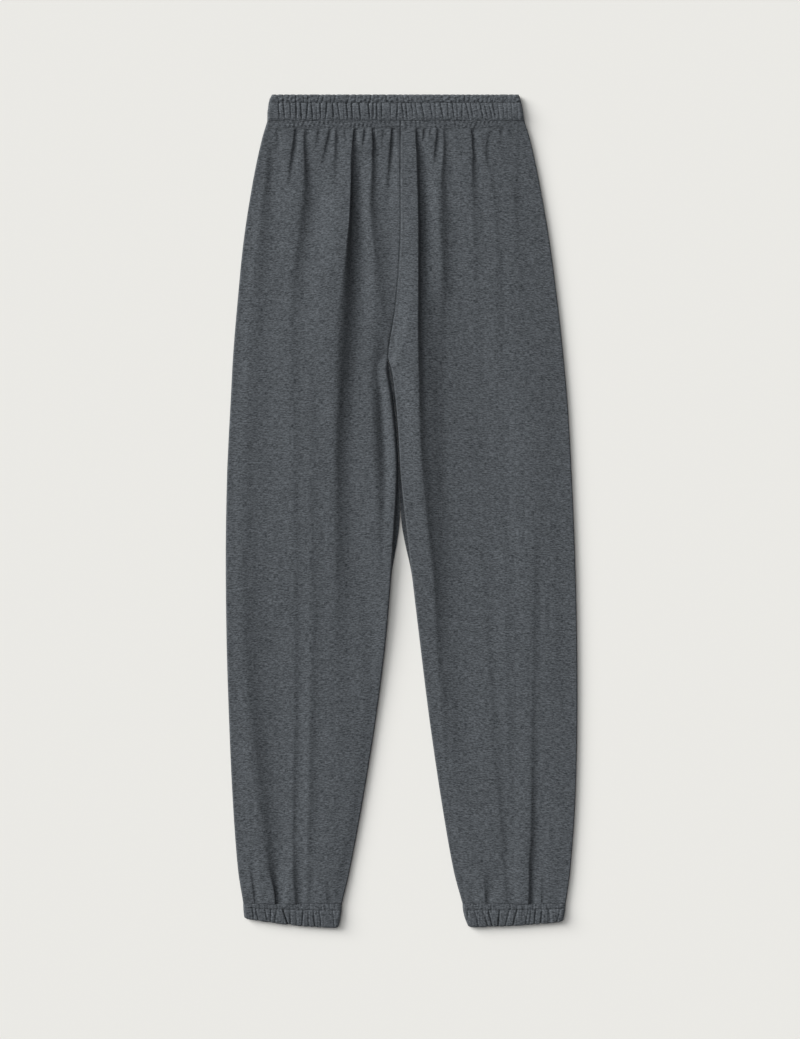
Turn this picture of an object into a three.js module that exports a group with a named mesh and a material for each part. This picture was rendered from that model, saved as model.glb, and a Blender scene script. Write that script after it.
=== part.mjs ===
// Jogger sweatpants in heavy knit, laid flat with the legs straight: four leg panels, a
// gathered waistband and two gathered cuffs. Millimetres. +X is to the right of someone who
// looks down at the garment with its waist away from them, +Y runs from the cuffs to the
// waist and +Z is up. The origin lies under the middle of the garment, on the surface that
// it rests on.

import * as THREE from "three";

const { lerp, smoothstep, clamp } = THREE.MathUtils;

// The cloth
const clothWall = 2.2;
const bandWall = 5.7;
const cuffWall = 4.4;
const seamGap = 0.3;
const layerGap = 0.6;

// Heights up the garment
const bandTop = 519.2;
const bandStitch = 508.5;
const bandSeam = 486.4;
const panelTop = bandSeam - seamGap;
const stripBottom = 477;
const crotch = 194.7;
const panelBottom = -488.5;
const cuffTop = panelBottom - seamGap;

// How high the laid-out cloth stands
const sideSeamHeight = 3;
const edgeHeight = 7;
const lowestFold = 5;
const bandHeight = 2 * bandWall + layerGap;
const cuffHeight = 2 * cuffWall + layerGap;

// Rolled edges: how far the cloth takes to turn over at a side seam or inseam, how far in
// from there it still climbs to its full height, and how soon below the crotch it is turned
const rollWidth = 5.5;
const underRoll = 2.7;
const edgeRise = 20;
const rollSteps = 3;
const crotchRamp = 20;

// Where the four long edges of the legs lie. Above the crotch the two inner ones are the
// rise seam.
const outline = [
  { y: 486, outerLeft: -167.5, innerLeft: -1.2, innerRight: -1.2, outerRight: 153.4 },
  { y: 462, outerLeft: -174.6, innerLeft: -1.3, innerRight: -1.3, outerRight: 160.8 },
  { y: 413, outerLeft: -185, innerLeft: -1.5, innerRight: -1.5, outerRight: 171.4 },
  { y: 338, outerLeft: -196.8, innerLeft: -1.7, innerRight: -1.7, outerRight: 184.4 },
  { y: 258, outerLeft: -204.8, innerLeft: -7.5, innerRight: -7.5, outerRight: 194.9 },
  { y: 194.7, outerLeft: -210, innerLeft: -16.8, innerRight: -16.8, outerRight: 201.8 },
  { y: 176, outerLeft: -211.1, innerLeft: -15.9, innerRight: -12.2, outerRight: 203.5 },
  { y: 139, outerLeft: -213, innerLeft: -10, innerRight: -7.4, outerRight: 206.8 },
  { y: 95, outerLeft: -215.4, innerLeft: -5.8, innerRight: -4, outerRight: 209.6 },
  { y: 45, outerLeft: -217.6, innerLeft: -3.9, innerRight: -1.2, outerRight: 212.2 },
  { y: -48, outerLeft: -219.2, innerLeft: -10.4, innerRight: 9.3, outerRight: 216.2 },
  { y: -160, outerLeft: -218.2, innerLeft: -19.4, innerRight: 22.5, outerRight: 218.8 },
  { y: -260, outerLeft: -215.1, innerLeft: -32.1, innerRight: 34.9, outerRight: 219.1 },
  { y: -360, outerLeft: -210.5, innerLeft: -48.2, innerRight: 49.6, outerRight: 216.7 },
  { y: -447, outerLeft: -203.9, innerLeft: -64.4, innerRight: 64.8, outerRight: 210.5 },
  { y: -488.5, outerLeft: -197.4, innerLeft: -74.1, innerRight: 75.8, outerRight: 204.8 },
];

// How high the upper panels stand between their folds
const loft = [
  { y: 486, height: 10.6 },
  { y: 472, height: 10.2 },
  { y: 400, height: 9.8 },
  { y: 250, height: 9.4 },
  { y: 100, height: 9 },
  { y: -100, height: 8.4 },
  { y: -300, height: 8.2 },
  { y: -440, height: 8.6 },
  { y: -488.5, height: 9 },
];

// The folds of the upper panels. Each runs down its path from top to foot and drops the
// cloth by depth. It goes down over the width called steep, to the left of the path, and
// comes back up over the width called ease, to the right of it. It starts over the length
// called head and dies away over the length called tail.
const folds = [
  { name: "left main", depth: 4.6, steep: 7, ease: 42, head: 6, tail: 110,
    path: [{ y: 477, x: -60 }, { y: 381, x: -60 }, { y: 257, x: -68 }, { y: 163, x: -73 },
      { y: 39, x: -76 }, { y: -125, x: -79 }] },
  { name: "right main", depth: 4.6, steep: 6, ease: 38, head: 6, tail: 150,
    path: [{ y: 477, x: 21 }, { y: 410, x: 20.6 }, { y: 258, x: 22 }, { y: 101, x: 24 },
      { y: -26, x: 34 }, { y: -160, x: 49 }, { y: -223, x: 55 }] },
  { name: "left hip", depth: 3.4, steep: 9, ease: 26, head: 6, tail: 90,
    path: [{ y: 475, x: -120 }, { y: 375, x: -121 }, { y: 313, x: -135 }, { y: 205, x: -143 }] },
  { name: "left hip gather", depth: 2.8, steep: 7, ease: 12, head: 5, tail: 22,
    path: [{ y: 475, x: -133 }, { y: 440, x: -133 }] },
  { name: "left side gather", depth: 2.2, steep: 8, ease: 12, head: 8, tail: 40,
    path: [{ y: 468, x: -150 }, { y: 402, x: -167 }] },
  { name: "left middle gather", depth: 3, steep: 6, ease: 14, head: 4, tail: 40,
    path: [{ y: 475, x: -36 }, { y: 415, x: -38 }] },
  { name: "left inner gather", depth: 2.8, steep: 5, ease: 9, head: 4, tail: 24,
    path: [{ y: 475, x: -15 }, { y: 436, x: -15 }] },
  { name: "left short gather", depth: 2.4, steep: 7, ease: 10, head: 4, tail: 20,
    path: [{ y: 475, x: -92 }, { y: 448, x: -84 }] },
  { name: "above the crotch", depth: 2.6, steep: 26, ease: 22, head: 60, tail: 60,
    path: [{ y: 260, x: -35 }, { y: 100, x: -33 }] },
  { name: "right inner gather", depth: 2.6, steep: 7, ease: 10, head: 5, tail: 32,
    path: [{ y: 470, x: 46 }, { y: 420, x: 44 }] },
  { name: "right hollow", depth: 2.4, steep: 14, ease: 20, head: 30, tail: 160,
    path: [{ y: 430, x: 57 }, { y: 164, x: 62 }, { y: 10, x: 70 }] },
  { name: "right middle gather", depth: 3, steep: 7, ease: 12, head: 4, tail: 40,
    path: [{ y: 475, x: 91 }, { y: 405, x: 85 }] },
  { name: "right outer gather", depth: 2.4, steep: 7, ease: 10, head: 4, tail: 22,
    path: [{ y: 475, x: 112 }, { y: 448, x: 110 }] },
  { name: "right hip", depth: 2.2, steep: 10, ease: 14, head: 20, tail: 40,
    path: [{ y: 462, x: 138 }, { y: 375, x: 152 }] },
  { name: "left calf, outer", depth: 2.6, steep: 18, ease: 16, head: 90, tail: 10,
    path: [{ y: 20, x: -188 }, { y: -190, x: -178 }, { y: -410, x: -170 }, { y: -486, x: -161 }] },
  { name: "left calf, inner", depth: 2.4, steep: 12, ease: 22, head: 80, tail: 10,
    path: [{ y: -190, x: -133 }, { y: -486, x: -131 }] },
  { name: "left ankle gather", depth: 1.6, steep: 8, ease: 8, head: 30, tail: 6,
    path: [{ y: -435, x: -186 }, { y: -484, x: -184 }] },
  { name: "right calf", depth: 2.8, steep: 12, ease: 20, head: 80, tail: 10,
    path: [{ y: -250, x: 162 }, { y: -486, x: 165 }] },
  { name: "right ankle gather", depth: 2, steep: 8, ease: 10, head: 30, tail: 6,
    path: [{ y: -440, x: 103 }, { y: -484, x: 104 }] },
  { name: "right ankle edge gather", depth: 1.6, steep: 8, ease: 8, head: 30, tail: 6,
    path: [{ y: -440, x: 189 }, { y: -484, x: 188 }] },
];

// Lines that the panels' points follow, so that each long fold has its own row of points.
// spaces says how many steps lie between a line and the one before it.
const leftGuides = [
  { spaces: 8, path: [{ y: 486, x: -122 }, { y: 375, x: -122 }, { y: 205, x: -144 },
    { y: 20, x: -180 }, { y: -190, x: -174 }, { y: -410, x: -170 }, { y: -488, x: -161 }] },
  { spaces: 7, path: [{ y: 486, x: -67 }, { y: 381, x: -67 }, { y: 257, x: -75 },
    { y: 39, x: -83 }, { y: -125, x: -96 }, { y: -250, x: -133 }, { y: -488, x: -133 }] },
  { spaces: 2, path: [{ y: 486, x: -60 }, { y: 381, x: -60 }, { y: 257, x: -68 },
    { y: 39, x: -76 }, { y: -125, x: -86 }, { y: -250, x: -120 }, { y: -488, x: -122 }] },
];
const rightGuides = [
  { spaces: 3, path: [{ y: 486, x: 15 }, { y: 410, x: 14.6 }, { y: 258, x: 16 },
    { y: 101, x: 17 }, { y: -26, x: 28 }, { y: -160, x: 43 }, { y: -488, x: 94 }] },
  { spaces: 2, path: [{ y: 486, x: 21 }, { y: 410, x: 20.6 }, { y: 258, x: 22 },
    { y: 101, x: 24 }, { y: -26, x: 34 }, { y: -160, x: 50 }, { y: -488, x: 104 }] },
  { spaces: 9, path: [{ y: 486, x: 91 }, { y: 405, x: 86 }, { y: 164, x: 120 },
    { y: -100, x: 150 }, { y: -250, x: 162 }, { y: -488, x: 165 }] },
];
const lastSpaces = 8;

// The rows of points of the panels: close together at the seams and the crotch
const upperRows = [
  panelTop, stripBottom, 472, 464, 452, 436, 412, 375, 338, 296, 256, 222, crotch, 186, 174,
  139, 95, 45, -48, -130, -205, -280, -350, -410, -450, -474, panelBottom,
];
const underRows = [
  panelTop, 436, 375, 296, 256, crotch, 186, 174, 139, 95, 45, -48, -130, -205, -280, -350,
  -410, -450, panelBottom,
];
const underSpaces = 6;

// The gathers of the elastics. Each is a groove and two ridges, which lie at these parts of
// the way to the next one. wander is how far a gather may be out of its even place, as a
// part of a gather, and an edge is scalloped by its grooves.
const gatherParts = [0, 0.36, 0.72];
const bandGathers = 44;
const bandWander = 0.22;
const bandScallop = 0.9;
// The waistband's gathers lean, less in its left half than in its right
const bandLean = { left: 0.08, right: 0.2 };
// The rows of the waistband. rise is how much of the upper half of its thickness it keeps
// there, and pull is how deep its gathers are.
const bandEnds = [
  { y: 519.2, left: -161.5, right: 146 },
  { y: 514, left: -164.3, right: 148.4 },
  { y: 508.5, left: -165.7, right: 149.6 },
  { y: 497, left: -167.2, right: 151.9 },
  { y: 486.4, left: -167.3, right: 153.2 },
];
const bandRows = [
  { y: 519.2, rise: 0.35, pull: 0.6 },
  { y: 517.2, rise: 0.82, pull: 0.9 },
  { y: 508.5, rise: 0.84, pull: 1.5 },
  { y: 503, rise: 1, pull: 2.4 },
  { y: 491, rise: 1, pull: 2.2 },
  { y: 486.4, rise: 0.88, pull: 0.9 },
];
const cuffGathers = 13;
const cuffWander = 0.25;
const cuffScallop = -1.1;
const cuffLean = { left: 2.2, right: -1.3 };
// The rows of a cuff. down is how far each lies from the seam to the foot.
const cuffRows = [
  { down: 0, rise: 0.95, pull: 0.4 },
  { down: 0.3, rise: 0.9, pull: 0.5 },
  { down: 0.48, rise: 1, pull: 1.5 },
  { down: 0.82, rise: 0.97, pull: 1.6 },
  { down: 0.94, rise: 0.85, pull: 1.1 },
  { down: 1, rise: 0.45, pull: 0.5 },
];
// The corners of the cuffs across the garment, how deep they are at each side of the leg,
// and how far the outer corner of the foot is rounded
const cuffLeft = {
  outerTop: -197.2, innerTop: -74.4, outerFoot: -191.5, innerFoot: -79.6,
  outerDepth: 20, innerDepth: 30.4, roundness: 9,
};
const cuffRight = {
  outerTop: 204.6, innerTop: 76, outerFoot: 200.6, innerFoot: 84,
  outerDepth: 23, innerDepth: 30, roundness: 14,
};
const footCurve = 1.4;
const cornerRise = 0.3;

// A tube's rounded ends and its plain under side
const endSteps = 4;
const endRound = 4.2;
const rimLift = 0.28;
const bandUnderSteps = 14;
const cuffUnderSteps = 6;

// A value read from a table at a height, on a smooth curve through its rows
function readTable(rows, key, y) {
  const upward = rows[0].y < rows[rows.length - 1].y ? rows : [...rows].reverse();
  const last = upward.length - 1;
  const at = clamp(y, upward[0].y, upward[last].y);
  let i = 0;
  while (i < last - 1 && at > upward[i + 1].y) i += 1;
  const slope = (k) => {
    const below = upward[Math.max(k - 1, 0)];
    const above = upward[Math.min(k + 1, last)];
    return (above[key] - below[key]) / (above.y - below.y);
  };
  const step = upward[i + 1].y - upward[i].y;
  const t = (at - upward[i].y) / step;
  const start = upward[i][key];
  const end = upward[i + 1][key];
  const blend = t * t * (3 - 2 * t);
  return start + (end - start) * blend
    + step * (slope(i) * t * (1 - t) ** 2 - slope(i + 1) * t * t * (1 - t));
}

// How far one fold lowers the cloth at a point
function foldDrop(fold, x, y) {
  const { path, depth, steep, ease, head, tail } = fold;
  const top = path[0].y;
  const foot = path[path.length - 1].y;
  if (y > top + head || y < foot - tail / 4) return 0;
  const along = smoothstep(top - y, -head / 2, head / 2) * smoothstep(y - foot, -tail / 4, tail);
  const across = x - readTable(path, "x", y);
  const side = across < 0
    ? smoothstep(across, -steep, 0)
    : 1 - smoothstep(across, 0, ease);
  return depth * along * side;
}

// The height of the upper cloth away from its rolled edges
function upperHeight(x, y) {
  let height = readTable(loft, "height", y);
  for (const fold of folds) height -= foldDrop(fold, x, y);
  return Math.max(height, lowestFold);
}

// How far the inner edge of a leg is turned over: not at all along the rise seam
function innerRoll(y) {
  return smoothstep(crotch - y, 0, crotchRamp);
}

// The points of one edge, from where the cloth starts to turn, outwards. side is -1 for an
// edge to the left of its panel. Each has the outer surface and the inner one, a wall away.
function edgePoints(x, side, y, roll, top, width, drop, wall, down) {
  const points = [];
  for (let k = 0; k <= rollSteps; k += 1) {
    const s = k / rollSteps;
    const turn = s * Math.PI / 2;
    const out = width * lerp(s, Math.sin(turn), roll) - width;
    const fall = roll * drop * (1 - Math.cos(turn));
    const run = width * lerp(1, Math.cos(turn) * Math.PI / 2, roll);
    const sink = roll * drop * Math.sin(turn) * Math.PI / 2;
    const length = Math.hypot(run, sink);
    const px = x + side * out;
    const pz = top - down * fall;
    points.push({
      outer: new THREE.Vector3(px, y, pz),
      inner: new THREE.Vector3(
        px - side * wall * sink / length, y, pz - down * wall * run / length),
    });
  }
  return points;
}

// The places across one row of a panel that its points take between the two edges
function placesAcross(start, end, guides, spacesLeft, y) {
  const places = [];
  let from = start;
  for (const guide of guides) {
    const to = readTable(guide.path, "x", y);
    for (let k = 1; k <= guide.spaces; k += 1) places.push(lerp(from, to, k / guide.spaces));
    from = to;
  }
  for (let k = 1; k < spacesLeft; k += 1) places.push(lerp(from, end, k / spacesLeft));
  return places;
}

// One row of an upper panel, from its left edge to its right
function upperRow(panel, y) {
  const edges = panelEdges(panel, y);
  const reach = (x) => {
    const fromLeft = lerp(1, smoothstep(x - edges.left, rollWidth, edgeRise), edges.leftRoll);
    const fromRight = lerp(1, smoothstep(edges.right - x, rollWidth, edgeRise), edges.rightRoll);
    return Math.min(fromLeft, fromRight);
  };
  const heightAt = (x) => lerp(Math.min(edgeHeight, upperHeight(x, y)), upperHeight(x, y), reach(x));
  const edge = (x, side, roll) => {
    const inward = x - side * rollWidth;
    const top = lerp(heightAt(inward), edgeHeight, roll);
    return edgePoints(x, side, y, roll, top, rollWidth, edgeHeight - sideSeamHeight, clothWall, 1);
  };
  const leftEdge = edge(edges.left, -1, edges.leftRoll).reverse();
  const rightEdge = edge(edges.right, 1, edges.rightRoll);
  const start = edges.left + rollWidth;
  const end = edges.right - rollWidth;
  const middle = placesAcross(start, end, panel.guides, lastSpaces, y).map((x) => ({
    outer: new THREE.Vector3(x, y, heightAt(x)),
    inner: new THREE.Vector3(x, y, heightAt(x) - clothWall),
  }));
  return [...leftEdge, ...middle, ...rightEdge];
}

// One row of an under panel, which lies flat and turns up at its rolled edges
function underRow(panel, y) {
  const edges = panelEdges(panel, y);
  const edge = (x, side, roll) => edgePoints(x, side, y, roll, 0, underRoll, underRoll, clothWall, -1);
  const leftEdge = edge(edges.left, -1, edges.leftRoll).reverse();
  const rightEdge = edge(edges.right, 1, edges.rightRoll);
  const start = edges.left + underRoll;
  const end = edges.right - underRoll;
  const middle = placesAcross(start, end, [], underSpaces, y).map((x) => ({
    outer: new THREE.Vector3(x, y, 0),
    inner: new THREE.Vector3(x, y, clothWall),
  }));
  return [...leftEdge, ...middle, ...rightEdge];
}

// The two edges of a panel at a height. The rise seam is a cut between two panels.
function panelEdges(panel, y) {
  const roll = innerRoll(y);
  const innerLeft = readTable(outline, "innerLeft", y);
  const innerRight = readTable(outline, "innerRight", y);
  const middle = (innerLeft + innerRight) / 2;
  const apart = y >= crotch ? seamGap : Math.max(innerRight - innerLeft, seamGap);
  if (panel.side < 0) {
    return {
      left: readTable(outline, "outerLeft", y), leftRoll: 1,
      right: middle - apart / 2, rightRoll: roll,
    };
  }
  return {
    left: middle + apart / 2, leftRoll: roll,
    right: readTable(outline, "outerRight", y), rightRoll: 1,
  };
}

// A panel: a closed wall from rows of points, each with an outer and an inner surface
function panelSolid(rows) {
  const positions = [];
  const triangles = [];
  const across = rows[0].length;
  const layer = rows.length * across;
  for (const surface of ["outer", "inner"]) {
    for (const row of rows) {
      for (const point of row) positions.push(...point[surface].toArray());
    }
  }
  const quad = (a, b, c, d) => triangles.push(a, b, c, a, c, d);
  for (let r = 0; r < rows.length - 1; r += 1) {
    const first = r * across;
    const last = first + across - 1;
    for (let here = first; here < last; here += 1) {
      quad(here, here + across, here + across + 1, here + 1);
      quad(layer + here + 1, layer + here + across + 1, layer + here + across, layer + here);
    }
    quad(first + across, first, layer + first, layer + first + across);
    quad(last, last + across, layer + last + across, layer + last);
  }
  const foot = (rows.length - 1) * across;
  for (let c = 0; c < across - 1; c += 1) {
    quad(c, c + 1, layer + c + 1, layer + c);
    quad(foot + c + 1, foot + c, layer + foot + c, layer + foot + c + 1);
  }
  return outward(positions, triangles);
}

// A tube from rings of points. Its inside is plain, from the first ring to the last.
function tubeSolid(rings) {
  const positions = [];
  const triangles = [];
  const around = rings[0].length;
  const layers = [
    ...rings.map((ring) => ring.map((point) => point.outer)),
    rings[rings.length - 1].map((point) => point.inner),
    rings[0].map((point) => point.inner),
  ];
  for (const layer of layers) {
    for (const point of layer) positions.push(...point.toArray());
  }
  for (let r = 0; r < layers.length; r += 1) {
    const here = r * around;
    const below = ((r + 1) % layers.length) * around;
    for (let c = 0; c < around; c += 1) {
      const next = (c + 1) % around;
      triangles.push(here + c, below + c, below + next, here + c, below + next, here + next);
    }
  }
  return outward(positions, triangles);
}

// The geometry of a closed solid, turned so that its faces point out
function outward(positions, triangles) {
  const geometry = new THREE.BufferGeometry();
  geometry.setAttribute("position", new THREE.Float32BufferAttribute(positions, 3));
  let volume = 0;
  const corner = (i) => new THREE.Vector3().fromArray(positions, triangles[i] * 3);
  for (let i = 0; i < triangles.length; i += 3) {
    volume += corner(i).dot(corner(i + 1).cross(corner(i + 2))) / 6;
  }
  const facing = volume > 0 ? triangles : [...triangles].reverse();
  geometry.setIndex(facing);
  geometry.computeVertexNormals();
  return geometry;
}

// Where the gathers lie along an elastic, from 0 to 1, unevenly spaced
function gatherPlaces(count, wander) {
  const places = [];
  for (let i = 0; i <= count; i += 1) {
    const inside = i > 0 && i < count;
    const shift = inside ? wander * (Math.sin(i * 2.3) + 0.6 * Math.sin(i * 5.1)) : 0;
    places.push((i + shift) / count);
  }
  return places;
}

// How deep each gather is, between about a half and one
function gatherDepth(i) {
  return 0.72 + 0.2 * Math.sin(i * 1.7) + 0.08 * Math.sin(i * 4.3);
}

// One ring of a flat tube. left and right are its ends, top is its highest line and lift its
// lowest. at() gives the height up the garment of a place across it. Gathers run over its
// upper side only, because the under side lies on the surface. Each has a groove and two
// ridges, and a groove pulls a free edge in by scallop times its depth.
function tubeRing(ring) {
  const { left, right, top, lift, pull, scallop, count, wander, underSteps, leanAt, at } = ring;
  const middle = (top + lift) / 2;
  const half = layerGap / 2;
  const start = left + endRound;
  const end = right - endRound;
  const points = [];
  const add = (x, z, innerX, innerZ, groove = 0) => points.push({
    outer: new THREE.Vector3(x, at(x) - scallop * groove, z),
    inner: new THREE.Vector3(innerX, at(innerX), innerZ),
  });
  const places = gatherPlaces(count, wander);
  for (let i = 0; i < count; i += 1) {
    for (const part of gatherParts) {
      const u = lerp(places[i], places[i + 1], part);
      const inside = Math.sin(u * Math.PI);
      const x = lerp(start, end, u) + leanAt(u) * Math.min(1, 6 * inside);
      const groove = part === gatherParts[0] && i > 0 ? pull * gatherDepth(i) : 0;
      add(x, top - groove, x, middle + half, groove);
    }
  }
  const sideReach = middle - lift;
  for (let k = 0; k <= endSteps; k += 1) {
    const turn = Math.PI / 2 - k * Math.PI / endSteps;
    const swing = Math.cos(turn);
    const height = middle + sideReach * Math.sin(turn);
    add(end + endRound * swing, height, end + half * swing, middle + half * Math.sin(turn));
  }
  for (let k = 1; k < underSteps; k += 1) {
    const x = lerp(end, start, k / underSteps);
    add(x, lift, x, middle - half);
  }
  for (let k = 0; k < endSteps; k += 1) {
    const turn = -Math.PI / 2 - k * Math.PI / endSteps;
    const swing = Math.cos(turn);
    const height = middle + sideReach * Math.sin(turn);
    add(start + endRound * swing, height, start + half * swing, middle + half * Math.sin(turn));
  }
  return points;
}

function makeWaistband() {
  const rows = bandRows.map((row) => {
    const slant = row.y - (bandStitch + bandSeam) / 2;
    const rim = row.y === bandTop;
    return tubeRing({
      left: readTable(bandEnds, "left", row.y),
      right: readTable(bandEnds, "right", row.y),
      top: bandHeight * lerp(0.5, 1, row.rise),
      lift: rim ? bandHeight * rimLift : 0,
      pull: row.pull,
      scallop: rim ? bandScallop : 0,
      count: bandGathers,
      wander: bandWander,
      underSteps: bandUnderSteps,
      leanAt: (u) => -slant * lerp(bandLean.left, bandLean.right, smoothstep(u, 0.3, 0.7)),
      at: () => row.y,
    });
  });
  return tubeSolid(rows);
}

// A cuff hangs from a level seam and its foot slopes down towards the inside of the leg
function makeCuff(cuff) {
  const leftSide = cuff.outerTop < cuff.innerTop;
  const ends = leftSide
    ? { left: cuff.outerTop, right: cuff.innerTop, leftFoot: cuff.outerFoot, rightFoot: cuff.innerFoot }
    : { left: cuff.innerTop, right: cuff.outerTop, leftFoot: cuff.innerFoot, rightFoot: cuff.outerFoot };
  const rows = cuffRows.map((row) => {
    const left = lerp(ends.left, ends.leftFoot, row.down ** 2);
    const right = lerp(ends.right, ends.rightFoot, row.down ** 2);
    const foot = row.down === 1;
    const depthAt = (x) => {
      const u = clamp((x - left) / (right - left), 0, 1);
      const inward = leftSide ? u : 1 - u;
      const corner = 1 - clamp(inward * (right - left) / cuff.roundness, 0, 1);
      const slope = lerp(cuff.outerDepth, cuff.innerDepth, 1 - (1 - inward) ** footCurve);
      return slope - cornerRise * cuff.roundness * corner ** 2;
    };
    return tubeRing({
      left,
      right,
      top: cuffHeight * lerp(0.5, 1, row.rise),
      lift: foot ? cuffHeight * rimLift : 0,
      pull: row.pull,
      scallop: foot ? cuffScallop : 0,
      count: cuffGathers,
      wander: cuffWander,
      underSteps: cuffUnderSteps,
      leanAt: () => (row.down - 0.5) * (leftSide ? cuffLean.left : cuffLean.right),
      at: (x) => cuffTop - row.down * depthAt(x),
    });
  });
  return tubeSolid(rows);
}

const panels = [
  { place: "left", side: -1, guides: leftGuides },
  { place: "right", side: 1, guides: rightGuides },
];

const knit = { color: 0x4d5154, roughness: 0.96, metalness: 0 };

function addPiece(group, name, geometry) {
  const piece = new THREE.Mesh(geometry, new THREE.MeshStandardMaterial(knit));
  piece.name = name;
  group.add(piece);
}

const joggers = new THREE.Group();
for (const panel of panels) {
  addPiece(joggers, `front_${panel.place}`, panelSolid(upperRows.map((y) => upperRow(panel, y))));
  addPiece(joggers, `back_${panel.place}`, panelSolid(underRows.map((y) => underRow(panel, y))));
}
addPiece(joggers, "waistband", makeWaistband());
addPiece(joggers, "cuff_left", makeCuff(cuffLeft));
addPiece(joggers, "cuff_right", makeCuff(cuffRight));

export default joggers;
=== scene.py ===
import math

import bpy
import numpy as np
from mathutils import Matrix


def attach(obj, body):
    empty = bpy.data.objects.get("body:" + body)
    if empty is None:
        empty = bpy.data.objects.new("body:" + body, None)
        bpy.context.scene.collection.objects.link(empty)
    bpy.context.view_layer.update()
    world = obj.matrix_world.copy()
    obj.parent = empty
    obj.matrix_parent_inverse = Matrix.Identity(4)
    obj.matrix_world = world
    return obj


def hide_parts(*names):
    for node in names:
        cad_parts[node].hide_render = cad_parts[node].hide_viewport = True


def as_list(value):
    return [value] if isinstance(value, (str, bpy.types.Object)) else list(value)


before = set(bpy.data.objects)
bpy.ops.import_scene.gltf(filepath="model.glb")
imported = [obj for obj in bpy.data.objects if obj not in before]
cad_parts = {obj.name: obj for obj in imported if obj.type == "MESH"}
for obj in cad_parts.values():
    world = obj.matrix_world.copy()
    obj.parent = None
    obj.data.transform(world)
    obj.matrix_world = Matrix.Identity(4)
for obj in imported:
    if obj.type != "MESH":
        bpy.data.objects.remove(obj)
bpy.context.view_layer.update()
mm = 0.001  # every size below is in millimetres, and a mesh is turned to metres when it is made
print("frame loaded:", len(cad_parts), "nodes")

# The picture: the garment lies flat and the camera looks straight down at it
picture = {
    "high": 1039,
    "mmPerPixel": 1.2455,
    "middle": (-1.9, -10.2),  # what lies in the middle of the picture
    "cameraHeight": 4000,
    "clothLevel": 8,
    "sensorHigh": 24,
}


def linked(name, data):
    # a new object, linked into the scene
    made = bpy.data.objects.new(name, data)
    bpy.context.collection.objects.link(made)
    return made


def newMaterial(name, finish):
    # a material, its tree and its shader, with the shader's inputs set by name
    material = bpy.data.materials.new(name)
    material.use_nodes = True
    shader = material.node_tree.nodes["Principled BSDF"]
    for key, value in finish.items():
        shader.inputs[key].default_value = value
    return material, material.node_tree, shader


def addCamera():
    data = bpy.data.cameras.new("camera")
    data.sensor_fit = "VERTICAL"
    data.sensor_height = picture["sensorHigh"]
    away = picture["cameraHeight"] - picture["clothLevel"]
    data.lens = picture["sensorHigh"] * away / (picture["high"] * picture["mmPerPixel"])
    camera = linked("camera", data)
    x, y = picture["middle"]
    camera.location = (x * mm, y * mm, picture["cameraHeight"] * mm)
    bpy.context.scene.camera = camera


# One soft light low at the upper left, one broad light overhead and a little light from all round.
# A light's turn is where it comes from, counted from +X towards +Y, and its lift is its height.
lights = {
    "key": {"turn": 148, "lift": 30, "softness": 38, "strength": 3.15, "colour": (1.0, 0.995, 0.985)},
    "overhead": {"turn": 142, "lift": 66, "softness": 50, "strength": 1.27, "colour": (0.99, 0.995, 1.0)},
}
air = {"strength": 0.13, "colour": (0.985, 0.99, 1.0)}
floorLook = {
    "size": 8000, "level": -0.3,
    "finish": {"Base Color": (0.83, 0.822, 0.79, 1), "Roughness": 0.9, "Specular IOR Level": 0.1},
}


def addLights():
    for name, light in lights.items():
        sun = bpy.data.lights.new(name, "SUN")
        sun.energy = light["strength"]
        sun.angle = math.radians(light["softness"])
        sun.color = light["colour"]
        lamp = linked(name, sun)
        lamp.rotation_euler = (0, math.radians(90 - light["lift"]), math.radians(light["turn"]))
    world = bpy.data.worlds.new("air")
    world.use_nodes = True
    background = world.node_tree.nodes["Background"]
    background.inputs["Color"].default_value = (*air["colour"], 1)
    background.inputs["Strength"].default_value = air["strength"]
    bpy.context.scene.world = world


def addFloor():
    half = floorLook["size"] / 2 * mm
    level = floorLook["level"] * mm
    corners = [(-half, -half, level), (half, -half, level), (half, half, level), (-half, half, level)]
    mesh = bpy.data.meshes.new("floor")
    mesh.from_pydata(corners, [], [(0, 1, 2, 3)])
    mesh.materials.append(newMaterial("pale floor", floorLook["finish"])[0])
    linked("floor", mesh)


addCamera()
addLights()
addFloor()
bpy.context.scene.view_settings.view_transform = "Standard"
print("camera, lights and floor done")


# Nodes and materials

def addNode(tree, kind, values=None, inputs=None):
    # a node with its settings, and its inputs by name or number: a value or another node's output
    node = tree.nodes.new(kind)
    for name, value in (values or {}).items():
        setattr(node, name, value)
    for key, value in (inputs or {}).items():
        socket = node.inputs[key]
        if isinstance(value, bpy.types.NodeSocket):
            tree.links.new(value, socket)
        else:
            socket.default_value = value
    return node


def addSockets(tree, way, sockets):
    # the sockets on one side of a node group, each with its kind
    for name, kind in sockets.items():
        tree.interface.new_socket(name, in_out=way, socket_type="NodeSocket" + kind)


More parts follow.
